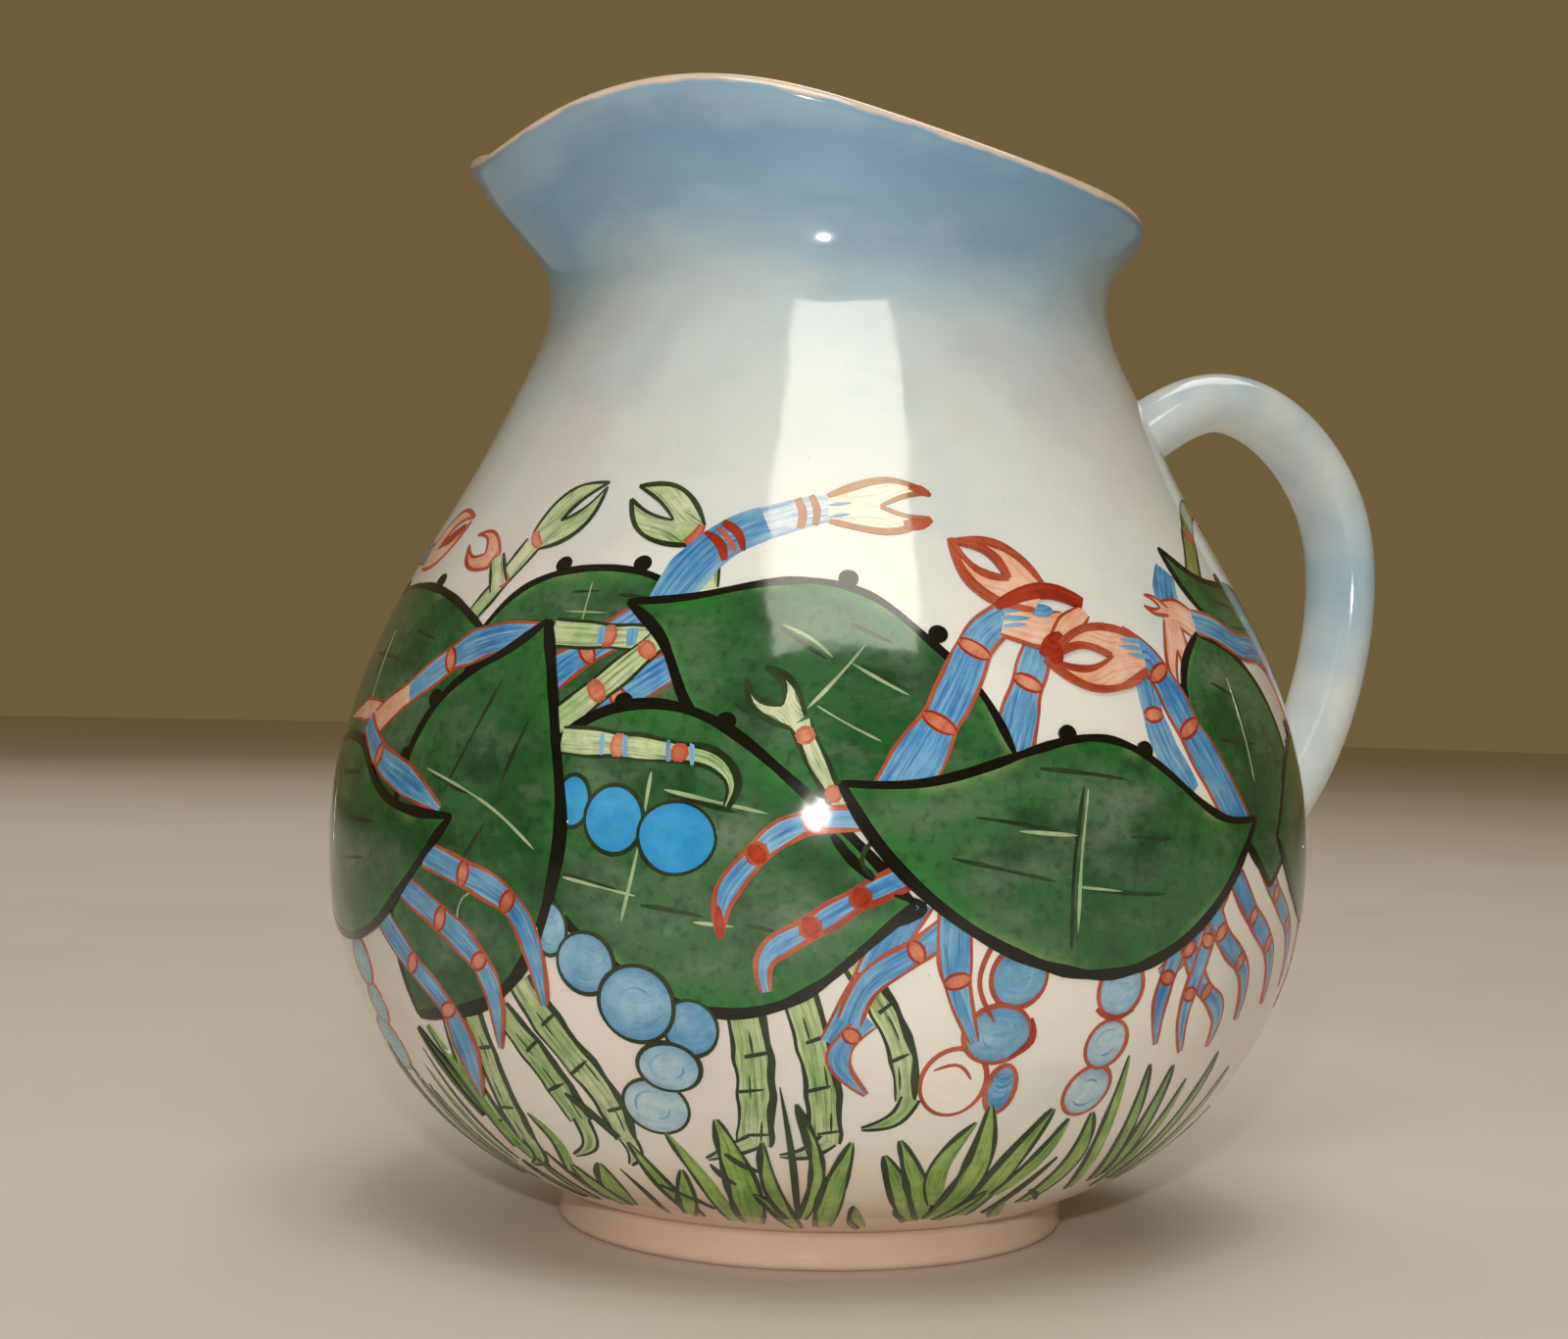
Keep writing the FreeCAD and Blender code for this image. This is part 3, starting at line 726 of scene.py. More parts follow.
class Painting:
    """Colours laid on the pot: thin closed patches gathered into one piece."""

    def __init__(self, name):
        self.name = name
        self.points = []
        self.faces = []
        self.face_finish = []
        self.finishes = []
        self.values = {"tone": [], "along": [], "across": []}

    def lay(self, a, s, colour, tone, along, across, closed=False):
        """A patch over a grid of canvas places; columns that shrink to a point become one point."""
        rows, columns = a.shape
        numbers = np.arange(rows * columns).reshape(rows, columns)
        shrunk = np.hypot(np.ptp(a, axis=0) * canvas_scale(s.mean(axis=0)), np.ptp(s, axis=0))
        shrunk = shrunk < SHRUNK_SIZE
        numbers[:, shrunk] = numbers[0, shrunk]
        right = np.roll(numbers, -1, axis=1) if closed else numbers[:, 1:]
        left = numbers if closed else numbers[:, :-1]
        quads = np.stack([left[:-1], right[:-1], right[1:], left[1:]], -1).reshape(-1, 4)
        edges = [np.stack([left[0], right[0]], 1), np.stack([right[-1], left[-1]], 1)]
        if not closed:
            edges.append(np.stack([numbers[1:, 0], numbers[:-1, 0]], 1))
            edges.append(np.stack([numbers[:-1, -1], numbers[1:, -1]], 1))
        edges = np.concatenate(edges)
        under = rows * columns
        walls = np.concatenate([edges[:, ::-1], edges + under], axis=1)
        faces = np.concatenate([quads, quads[:, ::-1] + under, walls])
        x, y = a.ravel(), s.ravel()
        first = np.stack([x[quads[:, 2]] - x[quads[:, 0]], y[quads[:, 2]] - y[quads[:, 0]]])
        second = np.stack([x[quads[:, 3]] - x[quads[:, 1]], y[quads[:, 3]] - y[quads[:, 1]]])
        if np.sum(first[0] * second[1] - first[1] * second[0]) < 0.0:
            faces = faces[:, ::-1]
        level = level_over(x, y)
        lift = PAINT_LIFT + LEVEL_LIFT * level
        sink = PAINT_SINK - LEVEL_SINK * level
        place = np.concatenate([canvas_points(x, y, lift), canvas_points(x, y, sink)])
        kept = []
        for face in faces.tolist():
            corners = [n for k, n in enumerate(face) if n != face[k - 1]]
            if len(set(corners)) > 2:
                kept.append(corners)
        used = sorted({n for face in kept for n in face})
        start = sum(len(p) for p in self.points)
        new = {n: start + k for k, n in enumerate(used)}
        self.points.append(place[used])
        self.faces.extend([new[n] for n in face] for face in kept)
        if colour not in self.finishes:
            self.finishes.append(colour)
        self.face_finish.extend([self.finishes.index(colour)] * len(kept))
        for key, grid in (("tone", tone), ("along", along), ("across", across)):
            flat = np.broadcast_to(grid, a.shape).ravel()
            self.values[key].append(np.concatenate([flat, flat])[used])

    def fill(self, top, bottom, colour, depth=3.0):
        """Colour between two lines with equally many points."""
        gap = np.hypot((top[:, 0] - bottom[:, 0]) * canvas_scale(top[:, 1]), top[:, 1] - bottom[:, 1])
        rows = max(3, int(gap.max() / PAINT_STEP) + 2)
        share = np.linspace(0.0, 1.0, rows)[:, None]
        a = bottom[:, 0] + (top[:, 0] - bottom[:, 0]) * share
        s = bottom[:, 1] + (top[:, 1] - bottom[:, 1]) * share
        tone = np.exp(-np.minimum(share, 1.0 - share) * gap / depth)
        self.lay(a, s, colour, tone, canvas_lengths((top + bottom) / 2.0), share * gap)

    def strip(self, line, width, colour, closed=False):
        """Colour along a line, of a width given at each of its points."""
        side = side_steps(line, closed)
        rows = max(3, int(np.max(width) / PAINT_STEP) + 2)
        across = np.linspace(-0.5, 0.5, rows)[:, None]
        a = line[:, 0] + across * width * side[:, 0]
        s = line[:, 1] + across * width * side[:, 1]
        tone = np.exp(-(0.5 - np.abs(across)) * width)
        self.lay(a, s, colour, tone, canvas_lengths(line), across * width, closed)

    def stroke(self, points, width, colour, start=0.35, end=0.35, waver=0.22):
        """One brush stroke through a few points; start and end are the widths of its ends."""
        self.stroke_on(smooth_line(points), width, colour, start, end, waver)

    def stroke_on(self, line, width, colour, start=0.35, end=0.35, waver=0.22):
        """One brush stroke along a line of close points."""
        at = canvas_lengths(line)
        reach = min(2.5 * width + 1.0, at[-1] / 2.0)
        grow = start + (1.0 - start) * np.sqrt(np.clip(at / reach, 0.0, 1.0))
        fade = end + (1.0 - end) * np.sqrt(np.clip((at[-1] - at) / reach, 0.0, 1.0))
        unsteady = 1.0 + waver * wavering(len(line), at[-1])
        self.strip(line, width * np.minimum(grow, fade) * unsteady, colour)

    def disc(self, centre, across, up, colour, depth=1.6):
        """A round or oval dab; across and up are its half widths in millimetres."""
        swing = np.linspace(0.0, math.pi, max(9, int(across + up) * 2 + 7))
        a = centre[0] - np.cos(swing) * across / canvas_scale(centre[1])
        top = np.stack([a, centre[1] + np.sin(swing) * up], 1)
        bottom = np.stack([a, centre[1] - np.sin(swing) * up], 1)
        self.fill(top, bottom, colour, depth)

    def ring(self, centre, across, up, width, colour):
        """A closed hand-drawn outline round an oval."""
        count = max(16, int(3.2 * (across + up) / LINE_STEP))
        swing = np.linspace(0.0, 2.0 * math.pi, count, endpoint=False)
        reach = 1.0 + 0.03 * wavering(count, 3.2 * (across + up), 7.0, closed=True)
        a = centre[0] + np.cos(swing) * across * reach / canvas_scale(centre[1])
        s = centre[1] + np.sin(swing) * up * reach
        unsteady = 1.0 + 0.3 * wavering(count, 3.2 * (across + up), 6.0, closed=True)
        self.strip(np.stack([a, s], 1), width * unsteady, colour, closed=True)

    def done(self):
        """Makes the piece."""
        values = {key: np.concatenate(parts) for key, parts in self.values.items()}
        finishes = [PIGMENTS[colour] for colour in self.finishes]
        points = np.concatenate(self.points)
        piece = make_piece(self.name, points, self.faces, finishes, self.face_finish, values, sharp=True)
        return piece


# ==== what is painted

# Everything is painted from the back to the front, so each mark lies on what it crosses.

def shell(name, top, bottom, eyes=(), pale=(), dark=(), outline=1.6, lower_outline=1.8):
    """A crab's shell: a green leaf shape in a heavy black outline, with eyes and scratch marks."""
    paint = Painting(name)
    count = max(24, int(canvas_lengths(np.array(bottom, float))[-1] / PAINT_STEP))
    upper = smooth_line(top, count=count)
    lower = smooth_line(bottom, count=count)
    paint.fill(upper, lower, "shell", depth=5.0)
    for points in dark:
        paint.stroke(points, 0.75, "dark_green", 0.5, 0.2, 0.35)
    for points in pale:
        paint.stroke(points, 0.5, "cream", 0.3, 0.2, 0.6)
    paint.stroke(top, outline, "ink", 0.6, 0.5)
    paint.stroke(bottom, lower_outline, "ink", 0.5, 0.5)
    for eye in eyes:
        paint.disc(eye, 1.8, 1.7, "ink")
    return paint.done()


# The fill, the outline, the joints' fill and the joints' outline of each kind of limb
LIMB_STYLES = {
    "blue": ("blue", "red", "joint", "dark_red"),
    "red_jointed": ("blue", "red", "dark_red", "red"),
    "plain_blue": ("blue", "blue", "joint", "dark_red"),
    "pale_blue": ("pale_blue", "pale_blue", "tan", "tan_edge"),
    "green": ("limb_green", "dark_green", "joint", "joint"),
    "pink": ("pink", "red", "joint", "red"),
    "olive": ("olive", "dark_green", "joint", "joint"),
    "reed": ("reed", "dark_green", "dark_green", "dark_green"),
    "tan": ("tan", "tan_edge", "tan", "tan_edge"),
}
JOINT_LENGTH = 3.4
JOINT_BULGE = 1.02
KNUCKLE_LENGTH = 4.4
KNUCKLE_BULGE = 1.12


def joint_mark(paint, line, width, middle, colours, knuckle):
    """An oval joint across a limb, with a thin curved outline on each side of it."""
    at = canvas_lengths(line)
    half = (KNUCKLE_LENGTH if knuckle else JOINT_LENGTH) / 2.0
    share = np.linspace(-1.0, 1.0, 9)
    places = np.clip(at[middle] + half * share, 0.0, at[-1])
    spine = np.stack([np.interp(places, at, line[:, 0]), np.interp(places, at, line[:, 1])], 1)
    reach = width[middle] * (KNUCKLE_BULGE if knuckle else JOINT_BULGE)
    oval = reach * np.sqrt(1.0 - share ** 2)
    if places[-1] - places[0] < half:
        return
    paint.strip(spine, np.maximum(oval, 0.02), colours[0])
    side = side_steps(spine)
    turn = np.linspace(-0.5, 0.5, 7)
    for end in (-1.0, 1.0):
        bow = at[middle] + np.sqrt(1.0 - (1.9 * turn) ** 2) * end * half * 0.8
        centre = np.stack([np.interp(bow, at, line[:, 0]), np.interp(bow, at, line[:, 1])], 1)
        arc = centre + side[4] * (turn * reach)[:, None]
        paint.stroke(arc, 0.55, colours[1], 0.5, 0.5)


def limb(paint, style, points, widths, joints=(), knuckles=False, outline=0.65):
    """A leg or an arm: a coloured strip between two drawn edges, pinched and marked at its joints."""
    colour, edge, *joint = LIMB_STYLES[style]
    line = smooth_line(points)
    at = canvas_lengths(line)
    marks = np.linspace(0.0, at[-1], len(widths))
    width = np.interp(at, marks, widths) * (1.0 + 0.08 * wavering(len(line), at[-1]))
    for share in joints:
        width = width * (1.0 - 0.15 * np.exp(-((at - share * at[-1]) / 3.5) ** 2))
    paint.strip(line, width, colour)
    side = side_steps(line)
    for hand in (-0.5, 0.5):
        paint.stroke_on(line + side * (hand * width)[:, None], outline, edge, 0.7, 0.5, 0.4)
    for share in joints:
        joint_mark(paint, line, width, int(share * (len(line) - 1)), joint, knuckles)


def hanging_legs(paint, legs):
    """Thin blue legs, each given as its hip, knee and toe."""
    for points in legs:
        limb(paint, "blue", points, (4.5, 5, 0.8), (0.3, 0.6))


def turned(base, heading, size, shape, mirrored=False):
    """Places a shape drawn in its own frame on the canvas: x runs along the heading."""
    shape = np.array(shape, float) * size
    if mirrored:
        shape[:, 1] *= -1.0
    angle = math.radians(heading)
    x = shape[:, 0] * math.cos(angle) - shape[:, 1] * math.sin(angle)
    y = shape[:, 0] * math.sin(angle) + shape[:, 1] * math.cos(angle)
    return np.stack([base[0] + x / canvas_scale(base[1]), base[1] + y], 1)


def claw(
    paint, style, base, heading, size, gape=0.08, mirrored=False,
    outline=1.0, plump=1.0, wrist=True, slit=0.1, crotch=0.34,
):
    """Pincers: two fingers that part at the crotch round a slit, open at the tips by the gape."""
    colour, edge, *joint = LIMB_STYLES[style]
    fat = 0.28 * plump
    wide = crotch + 0.3 * (1.0 - crotch) ** 0.5
    upper = [(0.0, 0.14), (0.26, fat), (0.64, fat + gape * 0.4), (1.0, gape)]
    upper_slit = [(0.0, 0.0), (crotch, 0.01), (wide, slit + gape * 0.7), (1.0, gape)]
    lower_slit = [(0.0, 0.0), (crotch, 0.0), (wide, -slit - gape * 0.7), (0.96, -gape)]
    lower = [(0.0, -0.14), (0.24, -fat * 0.92), (0.60, -fat * 0.92 - gape * 0.4), (0.96, -gape)]
    lines = [
        turned(base, heading, size, shape, mirrored) for shape in (upper, upper_slit, lower_slit, lower)
    ]
    for outer, inner in (lines[:2], (lines[3], lines[2])):
        paint.fill(smooth_line(outer, count=22), smooth_line(inner, count=22), colour, depth=1.4)
    for line in (lines[0], lines[3]):
        paint.stroke(line, outline, edge, 0.6, 0.6, 0.3)
    for line in (lines[1], lines[2]):
        paint.stroke(line[1:], outline * 0.85, edge, 0.6, 0.7, 0.3)
    if wrist:
        band = turned(base, heading, size, [(0.03, 0.13), (0.0, 0.0), (0.03, -0.13)], mirrored)
        paint.stroke(band, 2.0, joint[0], 0.7, 0.7)


def bead(paint, centre, across, up, colour="bead", edge="dark_green", outline=0.7, marked=True):
    """One painted bead, with its outline and curved brush marks inside."""
    paint.disc(centre, across, up, colour)
    start = RANDOM.uniform(0.0, 360.0)
    marks = ((0.60, 0.0, 110.0), (0.45, 180.0, 270.0)) if marked else ()
    for reach, low, high in marks:
        swing = np.radians(np.linspace(start + low, start + high, 5))
        a = centre[0] + np.cos(swing) * across * reach / canvas_scale(centre[1])
        s = centre[1] + np.sin(swing) * up * reach
        paint.stroke(np.stack([a, s], 1), 0.5, "blue", 0.2, 0.2)
    paint.ring(centre, across, up, outline, edge)


def reed(paint, points, widths, nodes, foot=None):
    """A jointed green leg or reed: heavy on one side, ticked at its nodes, with a hooked foot."""
    line = smooth_line(points)
    at = canvas_lengths(line)
    width = np.interp(at, np.linspace(0.0, at[-1], len(widths)), widths)
    for share in nodes:
        width = width * (1.0 + 0.14 * np.exp(-((at - share * at[-1]) / 2.0) ** 2))
    paint.strip(line, width, "reed")
    side = side_steps(line)
    for hand, weight in ((-0.5, 0.7), (0.5, 1.3)):
        paint.stroke_on(line + side * (hand * width)[:, None], weight, "dark_green", 0.6, 0.4, 0.45)
    for n, share in enumerate(nodes):
        k = int(share * (len(line) - 1))
        low, high = (-0.48, 0.25) if n % 2 else (-0.2, 0.5)
        ends = [line[k] + side[k] * width[k] * low, line[k] + side[k] * width[k] * high + (0.0, 0.8)]
        paint.stroke(ends, 0.8, "dark_green", 0.9, 0.4)
    for share in (0.2, 0.5, 0.8):
        k = int(share * (len(line) - 1))
        end = min(k + 4, len(line) - 1)
        paint.stroke_on(
            line[k:end + 1] + side[k] * width[k] * RANDOM.uniform(-0.25, 0.25), 0.4, "dark_green",
        )
    if foot:
        limb(paint, "reed", foot, (3.4, 2.8, 0.6), outline=0.8)


# A blade no wider than this is one dark stroke
THIN_BLADE = 1.6


def blade(paint, points, width, inked=True):
    """One blade of grass from its root to its tip."""
    line = smooth_line(points)
    at = canvas_lengths(line) / canvas_lengths(line)[-1]
    shape = np.sin(math.pi * np.clip(at * 0.82 + 0.16, 0.0, 1.0)) ** 0.75
    thin = width <= THIN_BLADE
    paint.strip(line, np.maximum(width * shape, 0.25), "dark_green" if thin else "grass")
    if thin:
        return
    side = side_steps(line)
    edges = ((-0.5, 0.7), (0.5, 1.1)) if inked else ((0.5, 0.8),)
    for hand, weight in edges:
        edge = line + side * (hand * width * shape)[:, None]
        paint.stroke_on(edge, weight, "dark_green", 0.8, 0.3, 0.5)


# ==== the front, from back to front

def reeds_front():
    """Jointed green legs that stand behind everything else on the front."""
    paint = Painting("reeds_left")
    reed(paint, [(-44, 63), (-44.6, 45), (-42, 24)], (4, 5, 3.5), (0.35, 0.7))
    reed(
        paint, [(-40, 64), (-39.8, 48), (-40.5, 32)], (4.5, 5, 4.5), (0.3, 0.75),
        [(-40, 33), (-41, 27), (-45, 23.5)],
    )
    reed(
        paint, [(-35.5, 64), (-31, 52), (-28.8, 41)], (5, 5.6, 5), (0.35, 0.7),
        [(-28.6, 41.5), (-29, 35), (-33, 30.5)],
    )
    reed(
        paint, [(-32, 70), (-27.5, 57.5), (-23.8, 46), (-23.3, 37)], (5.6, 6, 5.6, 4),
        (0.25, 0.52, 0.8), [(-23, 38), (-22.7, 34), (-24.3, 30)],
    )
    paint.stroke([(-29.5, 47.5), (-26.5, 42.5), (-24.4, 37.5)], 1.8, "dark_green")
    paint.done()

    paint = Painting("reeds_centre")
    reed(
        paint, [(-7.3, 70), (-6.3, 57), (-6.3, 48), (-6.8, 38.5)], (6, 6, 5.6, 5.6), (0.38, 0.62, 0.93),
        [(-6.8, 39.5), (-9.5, 37), (-13, 34)],
    )
    reed(
        paint, [(-2.0, 73), (0.2, 60), (1.2, 50), (1.5, 39.5)], (5.8, 5.4, 5.2, 5.4),
        (0.36, 0.66, 0.93), [(2, 40.5), (-0.5, 37), (-3.8, 36)],
    )
    reed(
        paint, [(2, 81), (6.8, 68.5), (9.3, 59), (10.2, 50)], (3.6, 4, 4, 3.4), (0.45, 0.75),
        [(10.8, 50.5), (9.5, 46), (5.7, 43.4)],
    )
    paint.done()


def beads_behind():
    """Strings of beads at the far left and the right."""
    paint = Painting("beads_far_left")
    for centre, across, up in (((-64, 50), 7, 6), ((-62, 59.5), 4.5, 4.5), ((-63, 68), 5.2, 4.8)):
        bead(paint, centre, across, up, "bead", "red")
    paint.done()

    paint = Painting("beads_right")
    bead(paint, (15.3, 53.8), 6.0, 7.0, "white", "red", 0.9, marked=False)
    paint.stroke([(12.8, 56.5), (15.5, 57.5), (17.2, 54.5)], 0.8, "red")
    for centre, across, up, colour in (
        ((21, 52.0), 2.8, 5.2, "blue"), ((20.8, 74.2), 5.4, 5.6, "bead"), ((19.2, 63.4), 6.2, 5.6, "bead"),
        ((32.6, 50.4), 5.0, 5.6, "bead_pale"), ((33, 60.4), 4.6, 5.0, "bead_pale"),
        ((33.2, 71.2), 5.0, 5.6, "bead"),
    ):
        bead(paint, centre, across, up, colour, "red", 0.9)
    paint.stroke([(22.8, 66.5), (23.2, 62.5), (21, 58.8)], 1.5, "dark_red")
    paint.stroke([(30.5, 67.5), (33, 65.8), (35.5, 67)], 1.5, "dark_red")
    paint.done()


def limbs_low():
    """Legs that hang below the two crabs on the right."""
    paint = Painting("limbs_low_centre")
    limb(paint, "blue", [(9.5, 88), (4, 70), (1.5, 62)], (6.5, 6, 3), (0.6,))
    limb(paint, "blue", [(5.5, 66.5), (2.6, 59), (5.8, 51.3)], (4, 4, 0.8), (0.2,))
    limb(paint, "blue", [(18, 91), (9.5, 78.5), (5, 72.5), (3.5, 66)], (4.5, 5, 4.5, 4), (0.52,))
    limb(paint, "blue", [(13.6, 90), (14.4, 72), (16.8, 62)], (5.5, 5.8, 1.5), (0.6,))
    paint.stroke([(18.2, 82), (16.5, 73.5), (18.6, 66)], 0.8, "red")
    paint.done()

    paint = Painting("limbs_low_right")
    for points, widths, joints in (
        ([(48.5, 91), (42.5, 78), (38.5, 73)], (4.2, 4.2, 3.2), (0.65,)),
        ([(41, 80), (39.3, 67.5), (40.5, 59.3)], (3.6, 4.2, 0.8), (0.4,)),
        ([(38.5, 87), (42.6, 77), (46, 70), (50.5, 64), (51, 57)], (4, 4.2, 4.2, 4, 0.8), (0.3, 0.62)),
        ([(47.5, 91), (44.2, 72.5), (43.6, 65.5), (45.5, 57)], (4, 4.2, 4, 0.8), (0.36, 0.66)),
        ([(44, 90), (49, 78), (54, 71.5), (55.5, 62)], (4.2, 4.4, 4, 0.8), (0.35, 0.64)),
        ([(50, 90), (54.5, 82), (60, 75), (62.5, 64)], (4.5, 4.5, 4.2, 0.8), (0.3, 0.6)),
        ([(56, 93), (61, 85), (67, 77), (69, 66)], (4.5, 4.5, 4.2, 0.8), (0.3, 0.6)),
    ):
        limb(paint, "blue", points, widths, joints)
    paint.done()


def claws_upper_left():
    """The crab at the back left, with its claws and its neighbours' claws."""
    shell(
        "shell_back_left",
        [(-44, 132), (-39.5, 142), (-33, 146.3), (-26, 147), (-20, 145), (-14, 138)],
        [(-44, 132), (-38, 116), (-27, 109), (-15, 112), (-14, 138)],
        eyes=[(-33.8, 147.8), (-22.5, 148)],
        pale=[[(-28.6, 144), (-28.4, 135.5)], [(-31, 138), (-25.5, 137.8)]],
        dark=[[(-36, 136), (-31.5, 135.5)], [(-24.5, 141.5), (-20.5, 141)], [(-31, 142), (-27, 142.3)]],
        outline=1.4,
    )
    paint = Painting("arm_green_left")
    limb(paint, "plain_blue", [(-47.5, 134.5), (-45, 139.5)], (3.5, 4))
    limb(paint, "green", [(-46.3, 137), (-43, 145.5), (-40.6, 152.5)], (3.6, 4.8, 4.6), (0.5,))
    claw(paint, "green", (-40.3, 153), 44, 18, 0.02, outline=0.8, slit=0.05)
    paint.done()

    paint = Painting("arm_green_right")
    limb(paint, "green", [(-13.7, 143), (-14.6, 149), (-16.2, 154)], (4, 4.8, 4.8))
    claw(paint, "green", (-16.4, 154), 148, 18, 0.08, mirrored=True, outline=1.0, slit=0.02)
    paint.done()

    paint = Painting("claws_red_left")
    limb(paint, "blue", [(-86, 134), (-92, 143), (-84, 151), (-71, 151)], (6, 7, 6, 4), (0.3, 0.66))
    claw(paint, "pink", (-71, 150.5), 25, 20, 0.02, outline=0.9, wrist=False)
    paint.stroke([(-67, 152.5), (-63, 155.5), (-60.5, 157.5)], 2.2, "dark_red")
    claw(paint, "pink", (-47, 149), 158, 13, 0.1, outline=0.8)
    limb(paint, "green", [(-43.5, 143), (-46.5, 149.5)], (4, 3.2))
    paint.done()


def arms_far_back():
    """The crabs and limbs that go round to the handle."""
    paint = Painting("arm_olive_right")
    limb(paint, "olive", [(56, 148), (62, 158), (71, 166), (81, 166)], (5, 5, 4.5, 3), (0.4,))
    claw(paint, "olive", (80, 166), -12, 17, 0.06)
    paint.done()

    paint = Painting("claw_right_edge")
    limb(paint, "plain_blue", [(46.5, 139.5), (47.3, 145), (49.5, 150.5)], (5, 7, 5))
    limb(paint, "pink", [(45, 141), (48, 141), (51, 138.5)], (4.5, 6.5, 6.5))
    claw(paint, "pink", (46.2, 139), -104, 17, 0.03, outline=0.7, plump=0.7, wrist=False, slit=0.04)
    claw(paint, "pink", (46.2, 141.4), 160, 6.5, 0.2, outline=0.7, plump=0.8, wrist=False, slit=0.02)
    paint.done()

    shell(
        "shell_right_lower",
        [(50.5, 137), (58, 133), (64.5, 123), (67, 110), (64.5, 98), (58, 88)],
        [(50.5, 137), (46, 131), (44, 122.5), (45, 112), (49.5, 101), (58, 88)],
        eyes=[(43.8, 125)],
        pale=[[(54, 128), (55, 108)]],
        dark=[[(49, 116), (57, 115)], [(50, 127), (55, 124)], [(54.4, 126), (55.6, 108)]],
    )
    shell(
        "shell_right_upper",
        [(50.5, 155.5), (55, 151), (62, 148.5), (73, 148), (84, 141)],
        [(50.5, 155.5), (52, 147), (56, 140), (64, 134.5), (75, 133.5), (84, 141)],
        eyes=[(66, 149.5)],
        dark=[[(58, 145), (66, 143)], [(62, 139), (70, 138.5)]],
    )
    paint = Painting("limbs_round_the_right")
    limb(
        paint, "blue", [(51, 139.5), (56, 138), (61, 135), (68, 134), (74, 126), (78, 115)],
        (5, 5.5, 5.5, 6, 6, 6), (0.62,),
    )
    limb(paint, "blue", [(90, 108), (98, 121), (93, 134)], (6, 7, 4.5), (0.4, 0.85))
    claw(paint, "pink", (93, 134), 122, 17, 0.06, outline=1.1)
    hanging_legs(paint, (
        [(73, 86), (75.5, 73), (72.5, 61)], [(80, 84), (84, 71), (81.5, 58)],
        [(87, 87), (93.5, 76), (93, 63)],
    ))
    paint.done()
    shell(
        "shell_right_edge",
        [(60, 97), (66, 111), (76, 117), (88, 112), (97, 100)],
        [(60, 97), (68, 84), (79, 79), (89, 86), (97, 100)],
        eyes=[(72, 118), (82, 117)],
        pale=[[(78, 110), (78.5, 90)]],
        dark=[[(70, 104), (76, 103)], [(81, 98), (88, 97)], [(72, 94), (77, 93)]],
    )


